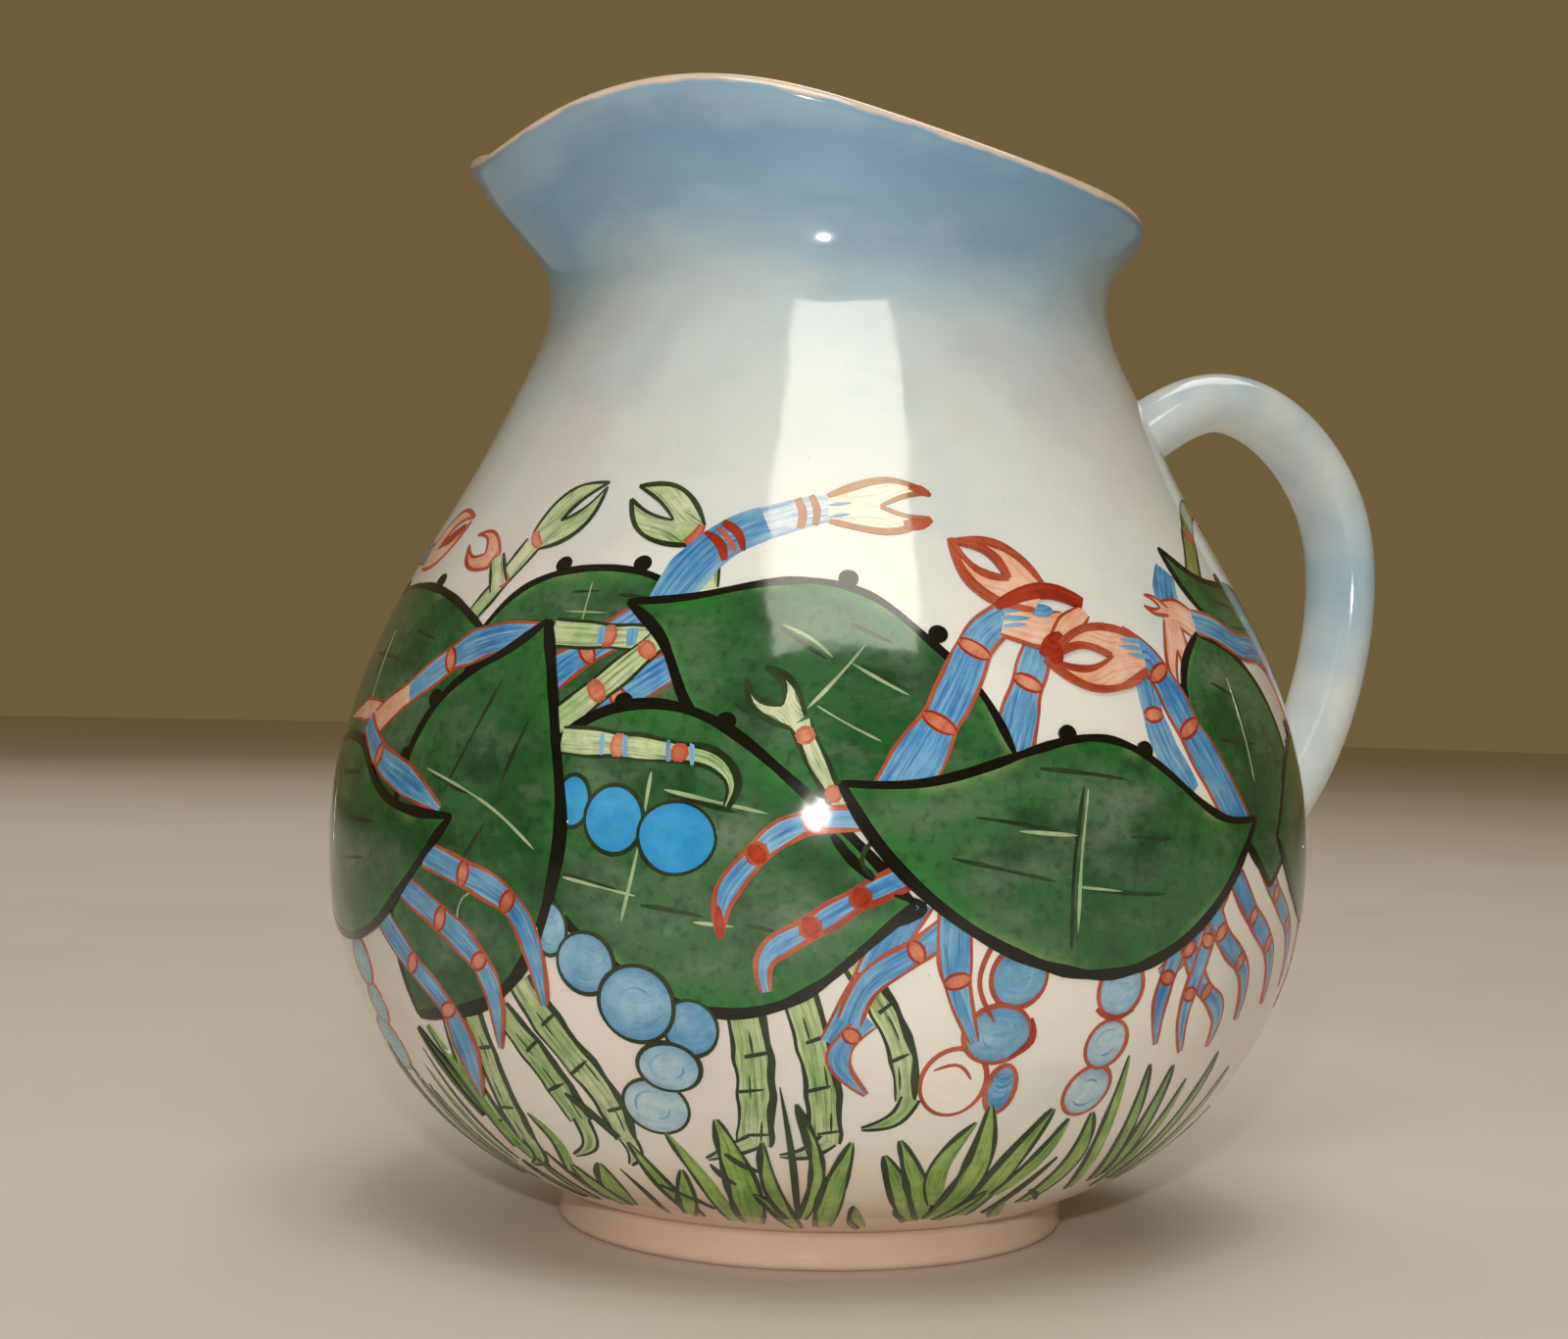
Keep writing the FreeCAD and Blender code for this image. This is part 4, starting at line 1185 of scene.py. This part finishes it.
def middle_crabs():
    """The far left crab, the two centre crabs, and the limbs between them."""
    shell(
        "shell_far_left_upper",
        [(-96, 128), (-84, 139), (-70, 143.5), (-58, 143), (-50, 139.5), (-43, 134)],
        [(-96, 128), (-88, 110), (-74, 95), (-58, 93), (-47, 104), (-43, 134)],
        eyes=[(-58, 144.6), (-75, 144)],
        pale=[[(-66, 134), (-64.5, 118)]],
        dark=[[(-70, 129), (-60, 128)], [(-58, 134), (-52, 132)]],
    )
    paint = Painting("limbs_crossed_left")
    limb(paint, "blue", [(-30.5, 125.5), (-21, 137)], (6.5, 6), (0.45,))
    limb(paint, "blue", [(-27, 116.5), (-21, 122.5), (-15.5, 129)], (6, 6, 6), (0.45,))
    limb(paint, "green", [(-32, 133.7), (-26, 133.2), (-19, 133)], (5, 5, 4.5), (0.6,))
    paint.stroke([(-25.4, 135), (-25.2, 131.6)], 1.5, "blue", 0.8, 0.8)
    paint.stroke([(-21.6, 134.8), (-21.4, 131.4)], 2.6, "blue", 0.8, 0.8)
    limb(paint, "green", [(-29, 116), (-23.5, 124), (-18.3, 132.5)], (5, 5.5, 4.5), (0.45, 0.92))
    paint.done()

    paint = Painting("arm_with_tan_claw")
    limb(paint, "pale_blue", [(-9.5, 156), (-5, 158.3), (-0.5, 160.2), (2.8, 160.8)], (6.8, 6.4, 5.6, 4))
    limb(paint, "plain_blue", [(-18.8, 139), (-16, 147), (-12.3, 153.3), (-7.6, 157)], (6, 8, 7.4, 7))
    for a, s in ((-13.4, 152.1), (-11.3, 154.3)):
        paint.stroke(
            turned((a, s), 128, 1.0, [(-3.8, 0.6), (0, -0.5), (3.8, 0.6)]), 1.7, "dark_red", 0.6, 0.6,
        )
    paint.stroke(
        turned((-12.3, 153.2), 128, 1.0, [(-3.4, 0.2), (0, -0.3), (3.4, 0.2)]), 1.1, "joint", 0.6, 0.6,
    )
    claw(paint, "tan", (0.2, 160.3), 4, 19, 0.15, outline=1.5, plump=0.85, wrist=False, slit=0.0, crotch=0.5)
    paint.stroke([(0.2, 161), (3.2, 161.6)], 0.7, "blue")
    paint.stroke([(0.2, 158.4), (3.0, 159.2)], 0.7, "blue")
    for a, s in ((-3.3, 159.2), (-1.5, 159.9)):
        paint.stroke(
            turned((a, s), 98, 1.0, [(-3.2, 0.4), (0, -0.3), (3.2, 0.4)]), 1.5, "tan_edge", 0.8, 0.8,
        )
    paint.stroke([(11.0, 165.6), (12.5, 164.9), (13.9, 163.8)], 2.2, "red", 0.6, 0.4)
    paint.stroke([(9.8, 157.4), (11.8, 157.5), (13.6, 158.6)], 2.4, "red", 0.6, 0.5)
    paint.done()

    paint = Painting("limbs_right_behind")
    limb(paint, "blue", [(24.3, 133), (21.8, 124), (19.2, 111)], (5.5, 7.5, 8), (0.36,))
    paint.done()

    shell(
        "shell_centre_top",
        [(-23, 140), (-15, 141.3), (-7, 144.2), (0, 144.7), (6, 141.5), (11, 134.5), (16, 126), (20, 113)],
        [(-23, 140), (-18, 133), (-14.5, 122), (-10, 113), (-2, 105), (9, 103), (20, 113)],
        eyes=[(2.7, 145.6), (12.6, 135)],
        pale=[
            [(-4.5, 136), (-1, 133), (1, 130)], [(4.5, 132.5), (1.4, 126), (-1.5, 120.5)],
            [(-0.5, 121), (2.5, 118), (6, 115)],
            [(3, 129), (6, 126), (9, 123.3)],
        ],
        dark=[
            [(3, 136.5), (7.5, 133)], [(-4.8, 135.5), (0.4, 129.6)], [(4, 128.6), (9, 124.2)],
            [(-9, 121), (-7, 119)],
        ],
        outline=1.5, lower_outline=1.9,
    )
    shell(
        "shell_centre_low",
        [
            (-30, 100), (-27.5, 113.5), (-22, 119.5), (-15.5, 120.3), (-10, 117), (-4, 109.5),
            (2.5, 99.5), (9.5, 87),
        ],
        [(-30, 100), (-28, 87), (-22, 76.5), (-15.5, 69.5), (-8.5, 67), (-1.5, 70.5), (4.5, 79), (9.5, 87)],
        eyes=[(-21, 120.8), (-9.7, 117.8)],
        pale=[
            [(-17, 108.5), (-17.8, 96), (-19.5, 82.5)], [(-26, 89.5), (-18, 87)],
            [(-15.5, 105.5), (-5, 102)],
            [(-12, 83), (-8, 82.5)],
        ],
        dark=[
            [(-17.5, 85.5), (-14, 84.8), (-11, 84)], [(-26, 90), (-20, 88)], [(-15, 104.6), (-8, 102)],
            [(-7, 83), (-3.6, 81.8)], [(-20, 112), (-12, 113)],
        ],
        outline=1.9, lower_outline=2.0,
    )


def on_the_middle_crabs():
    """Small arms, beads and legs that cross the centre crabs."""
    paint = Painting("arm_small_green")
    limb(paint, "green", [(2, 103.5), (-0.3, 111), (-2.2, 118)], (3.2, 3.4, 4.2), (0.2, 0.9), outline=0.9)
    claw(paint, "green", (-2.4, 118), 132, 12, 0.16, outline=1.2, wrist=False)
    paint.done()

    paint = Painting("arm_green_low")
    limb(
        paint, "green", [(-27.5, 113.5), (-21, 113), (-14, 112), (-10.3, 110.3), (-8.7, 106.5), (-9.2, 103)],
        (4.8, 5, 4.6, 3.6, 2.5, 0.6), (0.3, 0.62),
    )
    for a, s in ((-22.8, 113), (-20.2, 112.8), (-15.5, 112.3), (-13.0, 111.8)):
        paint.stroke([(a, s + 1.9), (a + 0.2, s - 1.9)], 1.0, "blue", 0.7, 0.7)
    paint.stroke([(-13, 113.8), (-9.5, 111.6), (-7.9, 107), (-8.9, 102.6)], 1.1, "dark_green")
    paint.done()

    paint = Painting("beads_bright")
    for centre, across, up in (
        ((-25.3, 102.9), 3.4, 4.7), ((-20.6, 100), 5.6, 6.0), ((-14, 97.3), 7.0, 6.3),
    ):
        bead(paint, centre, across, up, "bright", marked=False)
    paint.done()

    paint = Painting("beads_left")
    for centre, across, up, colour in (
        ((-27.6, 80.3), 3.6, 4.8, "bead"), ((-12.6, 63.7), 4.8, 5.4, "bead"),
        ((-23.6, 74.5), 5.6, 5.6, "bead"),
        ((-18, 46.5), 6.2, 6.2, "bead_pale"), ((-15.4, 55.6), 5.9, 5.0, "bead_pale"),
        ((-18.3, 67.6), 7.2, 7.2, "bead"),
    ):
        bead(paint, centre, across, up, colour)
    paint.done()

    paint = Painting("legs_centre")
    limb(
        paint, "red_jointed",
        [(4.5, 101.5), (-1, 100.7), (-4.2, 98), (-6.8, 93.3), (-9, 87.5), (-9.3, 80.5)],
        (3.8, 4.2, 4.2, 4, 3.6, 0.6), (0.26, 0.56), True, 0.9,
    )
    paint.stroke([(-9.6, 86), (-9.3, 80.2)], 1.6, "dark_red")
    limb(
        paint, "red_jointed", [(10, 93), (3.4, 87.3), (-1.8, 81.5), (-5, 76.8), (-4.8, 71.3)],
        (3.8, 4.2, 4.2, 4.2, 1.5), (0.32, 0.6), True, 0.9,
    )
    paint.stroke([(1.3, 98.7), (3.2, 94.6), (5.4, 91.3)], 2.2, "ink")
    paint.stroke([(5.5, 98.5), (4.2, 94), (5.4, 91.3)], 1.0, "dark_green")
    paint.stroke([(7.4, 88.6), (10.4, 86.6), (7.8, 83.4)], 1.3, "ink")
    paint.done()


def arms_front():
    """The arms that reach up in front of the centre crabs."""
    paint = Painting("arm_right")
    limb(
        paint, "blue", [(6.5, 103), (11.5, 117), (15, 127.5), (18, 135.5), (22, 139.5)],
        (9, 9, 7.5, 7, 5.5), (0.42, 0.76),
    )
    limb(paint, "pink", [(20.6, 138.4), (24.5, 136.6), (28.4, 136.6)], (6.5, 7.4, 6.6))
    limb(paint, "pink", [(26.6, 133.6), (28.8, 137.2), (31.6, 140.4)], (3.6, 5, 2.4))
    for low, high in (
        ((20.4, 136.8), (23.4, 137.4)), ((20.2, 138.4), (24.0, 138.6)), ((20.6, 139.9), (23.0, 140.2)),
    ):
        paint.stroke([low, high], 1.0, "blue", 0.7, 0.1)
    paint.disc((25.6, 140.2), 2.4, 1.3, "blue")
    claw(paint, "pink", (25.8, 142.5), 143, 20, 0.0, outline=1.7, plump=0.95, wrist=False, slit=0.12)
    paint.stroke([(19.8, 140.6), (24.0, 143.6), (28.0, 144.2), (31.6, 142.0)], 4.2, "dark_red", 0.3, 0.7)
    paint.stroke([(25.0, 131.2), (26.0, 133.4), (27.6, 135.6)], 3.4, "dark_red", 0.7, 0.4)
    paint.done()

    paint = Painting("arm_right_second")
    limb(paint, "plain_blue", [(38.6, 131), (38.6, 118), (42.5, 106)], (4.5, 6, 5), (0.42,))
    limb(
        paint, "blue", [(36, 135.5), (39.6, 131), (43, 120), (47, 109), (51.5, 98)], (5, 7, 7.5, 8, 8),
        (0.24, 0.48),
    )
    claw(paint, "pink", (38.6, 132.3), 184, 22.5, 0.0, outline=1.6, plump=0.9, wrist=False, slit=0.1)
    for low, high in (
        ((38.6, 134.6), (35.6, 135.0)), ((39.2, 133.2), (35.2, 133.6)), ((39.4, 131.6), (36.2, 132.2)),
    ):
        paint.stroke([low, high], 1.0, "blue", 0.7, 0.1)
    paint.disc((26.2, 132), 1.7, 2.4, "dark_red")
    paint.done()

    paint = Painting("arm_left")
    limb(paint, "pink", [(-72, 115.5), (-65, 117.2), (-58, 117)], (0.8, 4.5, 3))
    limb(paint, "pink", [(-60.5, 114.5), (-57, 118), (-52.5, 121.8)], (6, 5.5, 4.5))
    limb(
        paint, "blue", [(-53.5, 121), (-49, 125.7), (-44, 130.3), (-38, 132.8), (-32.5, 134)],
        (4.5, 6.5, 7, 6, 3), (0.36,),
    )
    paint.done()


def front_crabs():
    """The tall crab on the left and the wide one on the right."""
    shell(
        "shell_tall_left",
        [(-33, 136), (-38, 129.5), (-43, 125), (-47, 119), (-50, 110), (-51.5, 94), (-51.5, 76), (-50, 60)],
        [
            (-33, 136), (-30.5, 126), (-28, 112), (-26.5, 98), (-27.3, 88), (-30, 76), (-36, 66),
            (-43, 62), (-50, 60),
        ],
        eyes=[(-47.5, 120.3), (-50.6, 109)],
        pale=[[(-46, 107), (-40, 104), (-34, 99.5), (-29.5, 94)], [(-40, 79), (-39, 84), (-36.5, 86)]],
        dark=[
            [(-37, 124), (-40, 112), (-43, 102)], [(-32, 117), (-34.5, 105)], [(-36, 98), (-39, 91)],
            [(-45, 106), (-39, 103)],
        ],
        outline=1.9, lower_outline=2.4,
    )
    shell(
        "shell_front_right",
        [
            (2, 107.5), (10, 107.8), (18, 111.5), (25, 115.2), (31, 116), (37, 112), (43, 105),
            (48, 101.2), (54, 101),
        ],
        [(2, 107.5), (5, 99), (10, 89.5), (17, 81), (25, 75.5), (32, 74.3), (40, 78.5), (47, 87), (54, 101)],
        eyes=[(26.2, 116.8), (36, 114)],
        pale=[[(28, 107), (26.9, 94), (26.8, 82)], [(20, 99.7), (26.5, 98.9)], [(26.5, 90), (32, 89)]],
        dark=[
            [(27.5, 107.5), (26.1, 94), (26.2, 79)], [(22.5, 110.6), (28, 109.8), (33, 108.7)],
            [(15.5, 102), (20, 101), (24.5, 99.6)],
            [(13, 95), (18, 93.2), (24, 91)], [(33, 98.5), (38.5, 98)],
            [(28, 89.6), (33, 88.6), (37.5, 88.2)],
        ],
        outline=1.6, lower_outline=2.0,
    )


def nearest_limbs():
    """The nearest legs on the left, and the crab that they belong to."""
    paint = Painting("arm_left_lower")
    limb(paint, "blue", [(-62.5, 115), (-57, 108.8), (-50, 104.7), (-43, 99.7)], (4, 5.2, 6, 1.5), (0.33,))
    paint.done()
    paint = Painting("legs_left")
    for points, widths, joints in (
        (
            [(-45, 91.5), (-37.5, 88), (-31.5, 82.5), (-29.6, 75), (-29, 66)],
            (4.5, 5.6, 4.8, 4.5, 1.5), (0.27, 0.55),
        ),
        ([(-49, 85), (-41.5, 79), (-36.2, 70.5), (-36.7, 56)], (4.5, 5.6, 5, 0.8), (0.33, 0.6)),
        ([(-54, 79), (-48, 70), (-43.3, 61.5), (-42.8, 54), (-44, 43.5)], (5, 5.5, 5, 7, 0.8), (0.3, 0.56)),
    ):
        limb(paint, "blue", points, widths, joints)
    paint.done()
    paint = Painting("legs_round_the_left")
    hanging_legs(paint, (
        [(-79, 80), (-84, 68), (-81.5, 56)], [(-85, 85), (-92, 76), (-92, 63)],
        [(-89, 90), (-99, 85), (-101, 73)],
    ))
    paint.done()
    shell(
        "shell_far_left_lower",
        [(-92, 98), (-81, 108), (-70, 111.5), (-62.5, 110.5), (-56.5, 103.5), (-50, 99.5), (-41, 98.7)],
        [(-92, 98), (-86, 83), (-76, 74.5), (-64, 73), (-55, 77.5), (-48, 86.5), (-41, 98.7)],
        pale=[[(-72, 104), (-71, 86)]],
        dark=[[(-68, 104.5), (-61, 105)], [(-64, 96), (-56.5, 96)], [(-66, 88), (-58, 89)]],
        outline=1.8, lower_outline=1.9,
    )


def paint_front():
    """All that is painted on the front, from back to front."""
    reeds_front()
    beads_behind()
    limbs_low()
    claws_upper_left()
    arms_far_back()
    middle_crabs()
    on_the_middle_crabs()
    arms_front()
    front_crabs()
    nearest_limbs()


# ==== the side away from the front

def crab(name, centre, reach, rise, style, tilt):
    """A whole crab: shell, two arms with claws, and legs below, drawn about its centre."""
    def at(*points):
        return turned(centre, tilt, 1.0, points)

    paint = Painting(name + "_limbs")
    for hand in (-1.0, 1.0):
        for k in range(3):
            hip = at((hand * reach * (0.25 + 0.2 * k), -rise * 0.55))[0]
            knee = at((hand * reach * (0.42 + 0.27 * k), -rise * (1.45 - 0.25 * k)))[0]
            toe = at((hand * reach * (0.30 + 0.27 * k), -rise * (2.1 - 0.32 * k)))[0]
            limb(paint, style, [hip, knee, toe], (4.5, 5, 0.8), (0.3, 0.58))
        shoulder = at((hand * reach * 0.62, rise * 0.5))[0]
        elbow = at((hand * reach * 0.98, rise * 1.25))[0]
        wrist = at((hand * reach * 0.62, rise * 1.75))[0]
        limb(paint, style, [shoulder, elbow, wrist], (6, 7, 5), (0.42, 0.9))
        claw(
            paint, "pink" if style == "blue" else style, wrist, 90.0 + hand * 38.0 + tilt, 17, 0.06,
            hand > 0,
        )
    paint.done()
    shell(
        name + "_shell",
        at(
            (-reach, 0.1 * rise), (-reach * 0.6, rise * 0.62), (0, rise), (reach * 0.6, rise * 0.66),
            (reach, 0.0),
        ),
        at(
            (-reach, 0.1 * rise), (-reach * 0.6, -rise * 0.66), (0, -rise), (reach * 0.6, -rise * 0.7),
            (reach, 0.0),
        ),
        eyes=at((-reach * 0.2, rise * 1.03), (reach * 0.24, rise * 1.03)),
        pale=[at((0, rise * 0.6), (-1, -rise * 0.6)), at((-reach * 0.4, rise * 0.1), (-1, rise * 0.06))],
        dark=[
            at((-reach * 0.5, rise * 0.3), (-reach * 0.15, rise * 0.25)),
            at((4, rise * 0.1), (reach * 0.45, rise * 0.05)),
            at((-reach * 0.4, -rise * 0.25), (-3, -rise * 0.3)),
            at((6, -rise * 0.35), (reach * 0.4, -rise * 0.35)),
        ],
    )


def paint_back():
    """More reeds, beads and whole crabs round the side away from the front."""
    paint = Painting("reeds_back")
    for k, a in enumerate((96, 109, 137, 155, 176, 193, 212, 224, 241, 258)):
        lean = 3.0 if k % 2 else -3.0
        foot = [(a + lean * 0.5, 35), (a + lean * 0.8, 30), (a + lean * 2, 27)]
        reed(
            paint, [(a - lean, 66), (a, 50), (a + lean * 0.5, 34)], (0.5, 4.5, 5.5, 5, 4.5),
            (0.36, 0.7), foot,
        )
    paint.done()
    for k, (a, top) in enumerate(((128, 60), (166, 66), (203, 62), (232, 66), (272, 60))):
        paint = Painting(f"beads_back_{k + 1}")
        for n in range(3):
            bead(paint, (a + n * 1.5, top - 10.5 * n), 5.4, 5.3, "bead", "red" if k % 2 else "dark_green")
        paint.done()
    crab("crab_back_1", (147, 104), 34, 19, "blue", 4)
    crab("crab_back_2", (220, 112), 36, 19, "blue", 6)
    crab("crab_back_3", (184, 88), 38, 20, "green", -5)
    crab("crab_back_4", (249, 90), 32, 19, "green", -8)


# ==== grass

# Blades in front, each from its tip to its root, with its width
FRONT_BLADES = (
    ((-55, 48), (-53, 38), (-50, 22), 2.2), ((-53, 52), (-51, 40), (-48, 24), 1.5),
    ((-51.5, 57), (-48.5, 48), (-46, 38), 3), ((-49, 58), (-46, 48), (-44, 30), 2),
    ((-58, 42), (-56, 30), (-52, 14), 3), ((-61, 46), (-59, 32), (-56, 15), 3),
    ((-37, 41), (-34.8, 35), (-36.5, 24), 2.6), ((-29.5, 29), (-30.5, 22), (-32, 11), 5),
    ((-35, 27), (-34.5, 20), (-33, 10), 4), ((-28.3, 47), (-26.5, 43), (-24, 38), 1.5),
    ((-23, 37), (-21, 25), (-19, 9), 3), ((-26.5, 28), (-25.2, 20), (-25.5, 8), 1.5),
    ((-17.5, 40.5), (-14.5, 28), (-13, 8), 3.2), ((-17, 30), (-18, 22), (-20.5, 10), 3.4),
    ((-11, 44.5), (-9.2, 28), (-9.8, 7), 6), ((-12.8, 32.5), (-11.5, 29), (-10, 26.5), 1.4),
    ((-7.8, 23.5), (-5.2, 17), (-2.2, 4), 3), ((-5.8, 39.5), (-5.4, 28), (-3, 12), 2.8),
    ((-3.5, 52.5), (-2.4, 38), (-1.8, 14), 1.4), ((-1.7, 49), (0.8, 34), (-1.2, 12), 2.4),
    ((4.8, 40), (3.2, 26), (2.4, 7), 4.4), ((6.6, 19), (7.6, 12), (9.6, 5), 2.8),
    ((9, 36.5), (12.5, 25), (17.5, 9), 4.4), ((10.5, 40.5), (14.5, 27), (19, 11), 4),
    ((19.3, 44.5), (16.6, 33), (18.8, 19), 4), ((20.4, 48.5), (21.6, 33), (20.6, 11), 5.2),
    ((28.8, 46.8), (26.4, 34), (25.5, 12), 4.8), ((31.8, 44), (30.5, 34), (27.5, 22), 3.4),
    ((33.5, 33.5), (31.5, 24), (30, 12), 1.6), ((35, 45), (36.8, 33), (35.5, 16), 4.4),
    ((37, 57.5), (39, 40), (43, 20), 3), ((41, 55), (43.5, 40), (47, 22), 3.2),
    ((45.5, 54), (46.6, 40), (49, 24), 3.6), ((50, 50), (50.5, 36), (51, 18), 3),
    ((55, 55), (55, 38), (54, 20), 3.6), ((62, 50), (61, 36), (58, 18), 3.6),
    ((30.5, 19), (32, 14), (34.5, 8), 2.6), ((38.5, 16), (36, 20), (34, 22), 1.5),
    ((25.5, 24), (24, 17), (22, 10), 2.4), ((-15, 15), (-18, 20), (-21.5, 24), 1.4),
    ((-6.5, 31), (-8.6, 33), (-10.5, 36), 1.4), ((-38.5, 30), (-37, 22), (-36, 12), 1.6),
    ((12.8, 19), (14, 14), (16.5, 10), 1.4), ((-42, 27), (-41, 19), (-40, 10), 2.2),
    ((-47, 24), (-46, 17), (-44, 9), 2.4),
)
GRASS_FROM = 66.0
GRASS_TO = 296.0
BLADE_SPACING = 3.2
BLADES_A_PIECE = 12


def paint_grass():
    """Grass all round above the foot: chosen blades in front and scattered ones behind."""
    blades = list(FRONT_BLADES)
    a = GRASS_FROM
    while a < GRASS_TO:
        lean, bow = RANDOM.uniform(-3.0, 3.0), RANDOM.uniform(-1.5, 1.5)
        tall, low = RANDOM.uniform(28.0, 54.0), RANDOM.uniform(6.0, 14.0)
        middle = (a + lean * 0.4 + bow, (tall + low) * 0.5)
        blades.append(((a + lean, tall), middle, (a, low), RANDOM.uniform(1.2, 4.6)))
        a += BLADE_SPACING * RANDOM.uniform(0.6, 1.5)
    for k in range(0, len(blades), BLADES_A_PIECE):
        paint = Painting(f"grass_{k // BLADES_A_PIECE + 1}")
        for n, (tip, middle, root, width) in enumerate(blades[k:k + BLADES_A_PIECE]):
            blade(paint, [root, middle, tip], width, inked=n % 3 > 0)
        paint.done()


# ==== putting it together

def build_pot():
    """The five glazed pieces, in place of the CAD model's nodes."""
    glaze = body_finish()
    handle_glaze = handle_finish()
    made = (
        (body_piece(glaze), "body", "body_glaze"),
        (foot_piece(foot_finish()), "foot_ring", "foot_glaze"),
        (handle_piece(handle_glaze), "handle", "handle_glaze"),
        (fillet_piece("upper_slip_fillet_glazed", True, handle_glaze), "upper_slip_fillet", "handle_glaze"),
        (fillet_piece("lower_slip_fillet_glazed", False, handle_glaze), "lower_slip_fillet", "handle_glaze"),
    )
    for piece, node, slot in made:
        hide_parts(node)


FLOOR_RADIUS = 4.0
FLOOR_CORNERS = 96


def build_floor():
    """A plain pale floor."""
    tree = Tree("floor_pale")
    colour = tree.mix(tree.noise(3.0, 4.0), rgb(222, 217, 208), rgb(214, 209, 200))
    roughness = tree.fit(tree.noise(9.0, 3.0), 0.3, 0.7, 0.5, 0.62)
    surface = tree.node("ShaderNodeBsdfPrincipled", {"Base Color": colour, "Roughness": roughness})
    tree.node("ShaderNodeOutputMaterial", {"Surface": surface.outputs[0]})
    mesh = bpy.data.meshes.new("floor")
    headings = [2 * math.pi * k / FLOOR_CORNERS for k in range(FLOOR_CORNERS)]
    rim = [(FLOOR_RADIUS * math.cos(t), FLOOR_RADIUS * math.sin(t), 0.0) for t in headings]
    mesh.from_pydata(rim, [], [tuple(range(FLOOR_CORNERS))])
    mesh.materials.append(tree.material)
    floor = bpy.data.objects.new("floor", mesh)
    bpy.context.scene.collection.objects.link(floor)


# Metres, degrees and millimetres of lens on a sensor 36 mm wide
CAMERA_PLACE = (-0.2182, -0.4679, 0.11506)
CAMERA_AZIMUTH = -25.0
CAMERA_ROLL = 1.43
CAMERA_LENS = 55.64
CAMERA_SHIFT = (-0.0248, 0.0006)
SENSOR_WIDTH = 36.0
NEAREST_SEEN = 0.01


def build_camera():
    """The camera: level with the pot's middle, and rolled slightly."""
    data = bpy.data.cameras.new("camera")
    data.sensor_width = SENSOR_WIDTH
    data.lens = CAMERA_LENS
    data.shift_x, data.shift_y = CAMERA_SHIFT
    data.clip_start = NEAREST_SEEN
    camera = bpy.data.objects.new("camera", data)
    camera.matrix_world = (
        Matrix.Translation(CAMERA_PLACE)
        @ Matrix.Rotation(math.radians(CAMERA_AZIMUTH), 4, "Z")
        @ Matrix.Rotation(math.radians(90.0), 4, "X")
        @ Matrix.Rotation(math.radians(CAMERA_ROLL), 4, "Z")
    )
    bpy.context.scene.collection.objects.link(camera)
    bpy.context.scene.camera = camera


POT_MIDDLE = (0.0, 0.0, 0.13)
SURROUND = rgb(238, 203, 134)
SURROUND_STRENGTH = 0.185


def soft_light(name, azimuth, elevation, distance, size, power, warmth, fills=True, shines=True):
    """A soft box aimed at the pot; azimuth is degrees to the right of the camera's side.

    One that doesn't fill shows only as a reflection, and one that doesn't shine has none.
    """
    data = bpy.data.lights.new(name, "AREA")
    data.shape = "RECTANGLE"
    data.size, data.size_y = size
    data.energy = power
    data.color = warmth
    light = bpy.data.objects.new(name, data)
    light.visible_diffuse = fills
    light.visible_glossy = shines
    turn = math.radians(azimuth + CAMERA_AZIMUTH)
    light.matrix_world = (
        Matrix.Translation(POT_MIDDLE)
        @ Matrix.Rotation(turn, 4, "Z")
        @ Matrix.Rotation(math.radians(90.0 - elevation), 4, "X")
        @ Matrix.Translation((0.0, 0.0, distance))
    )
    bpy.context.scene.collection.objects.link(light)


def build_light():
    """Soft studio light: a window with extra shine, a small lamp by the camera, and fill all round."""
    soft_light("window_light", 6.4, 59.0, 1.1, (0.58, 0.62), 4.9, (1.0, 0.97, 0.89))
    soft_light("window_shine", 6.4, 59.0, 1.09, (0.58, 0.62), 2.6, (1.0, 0.96, 0.78), fills=False)
    soft_light("front_light", -1.0, 4.5, 0.52, (0.015, 0.012), 1.04, (1.0, 0.97, 0.90))
    soft_light("side_light", -100.0, 50.0, 2.0, (1.8, 1.8), 0.9, (1.0, 0.96, 0.86))
    soft_light("back_light", 150.0, 58.0, 1.8, (1.2, 0.7), 7.5, (1.0, 0.98, 0.93))
    soft_light("fill_light", -146.0, 40.0, 1.8, (1.4, 1.4), 6.5, (1.0, 0.98, 0.93), shines=False)
    world = bpy.data.worlds.new("studio")
    world.use_nodes = True
    background = world.node_tree.nodes["Background"]
    background.inputs["Color"].default_value = SURROUND
    background.inputs["Strength"].default_value = SURROUND_STRENGTH
    bpy.context.scene.world = world
    bpy.context.scene.view_settings.view_transform = "Standard"


build_camera()
build_pot()
paint_front()
paint_back()
paint_grass()
build_floor()
build_light()
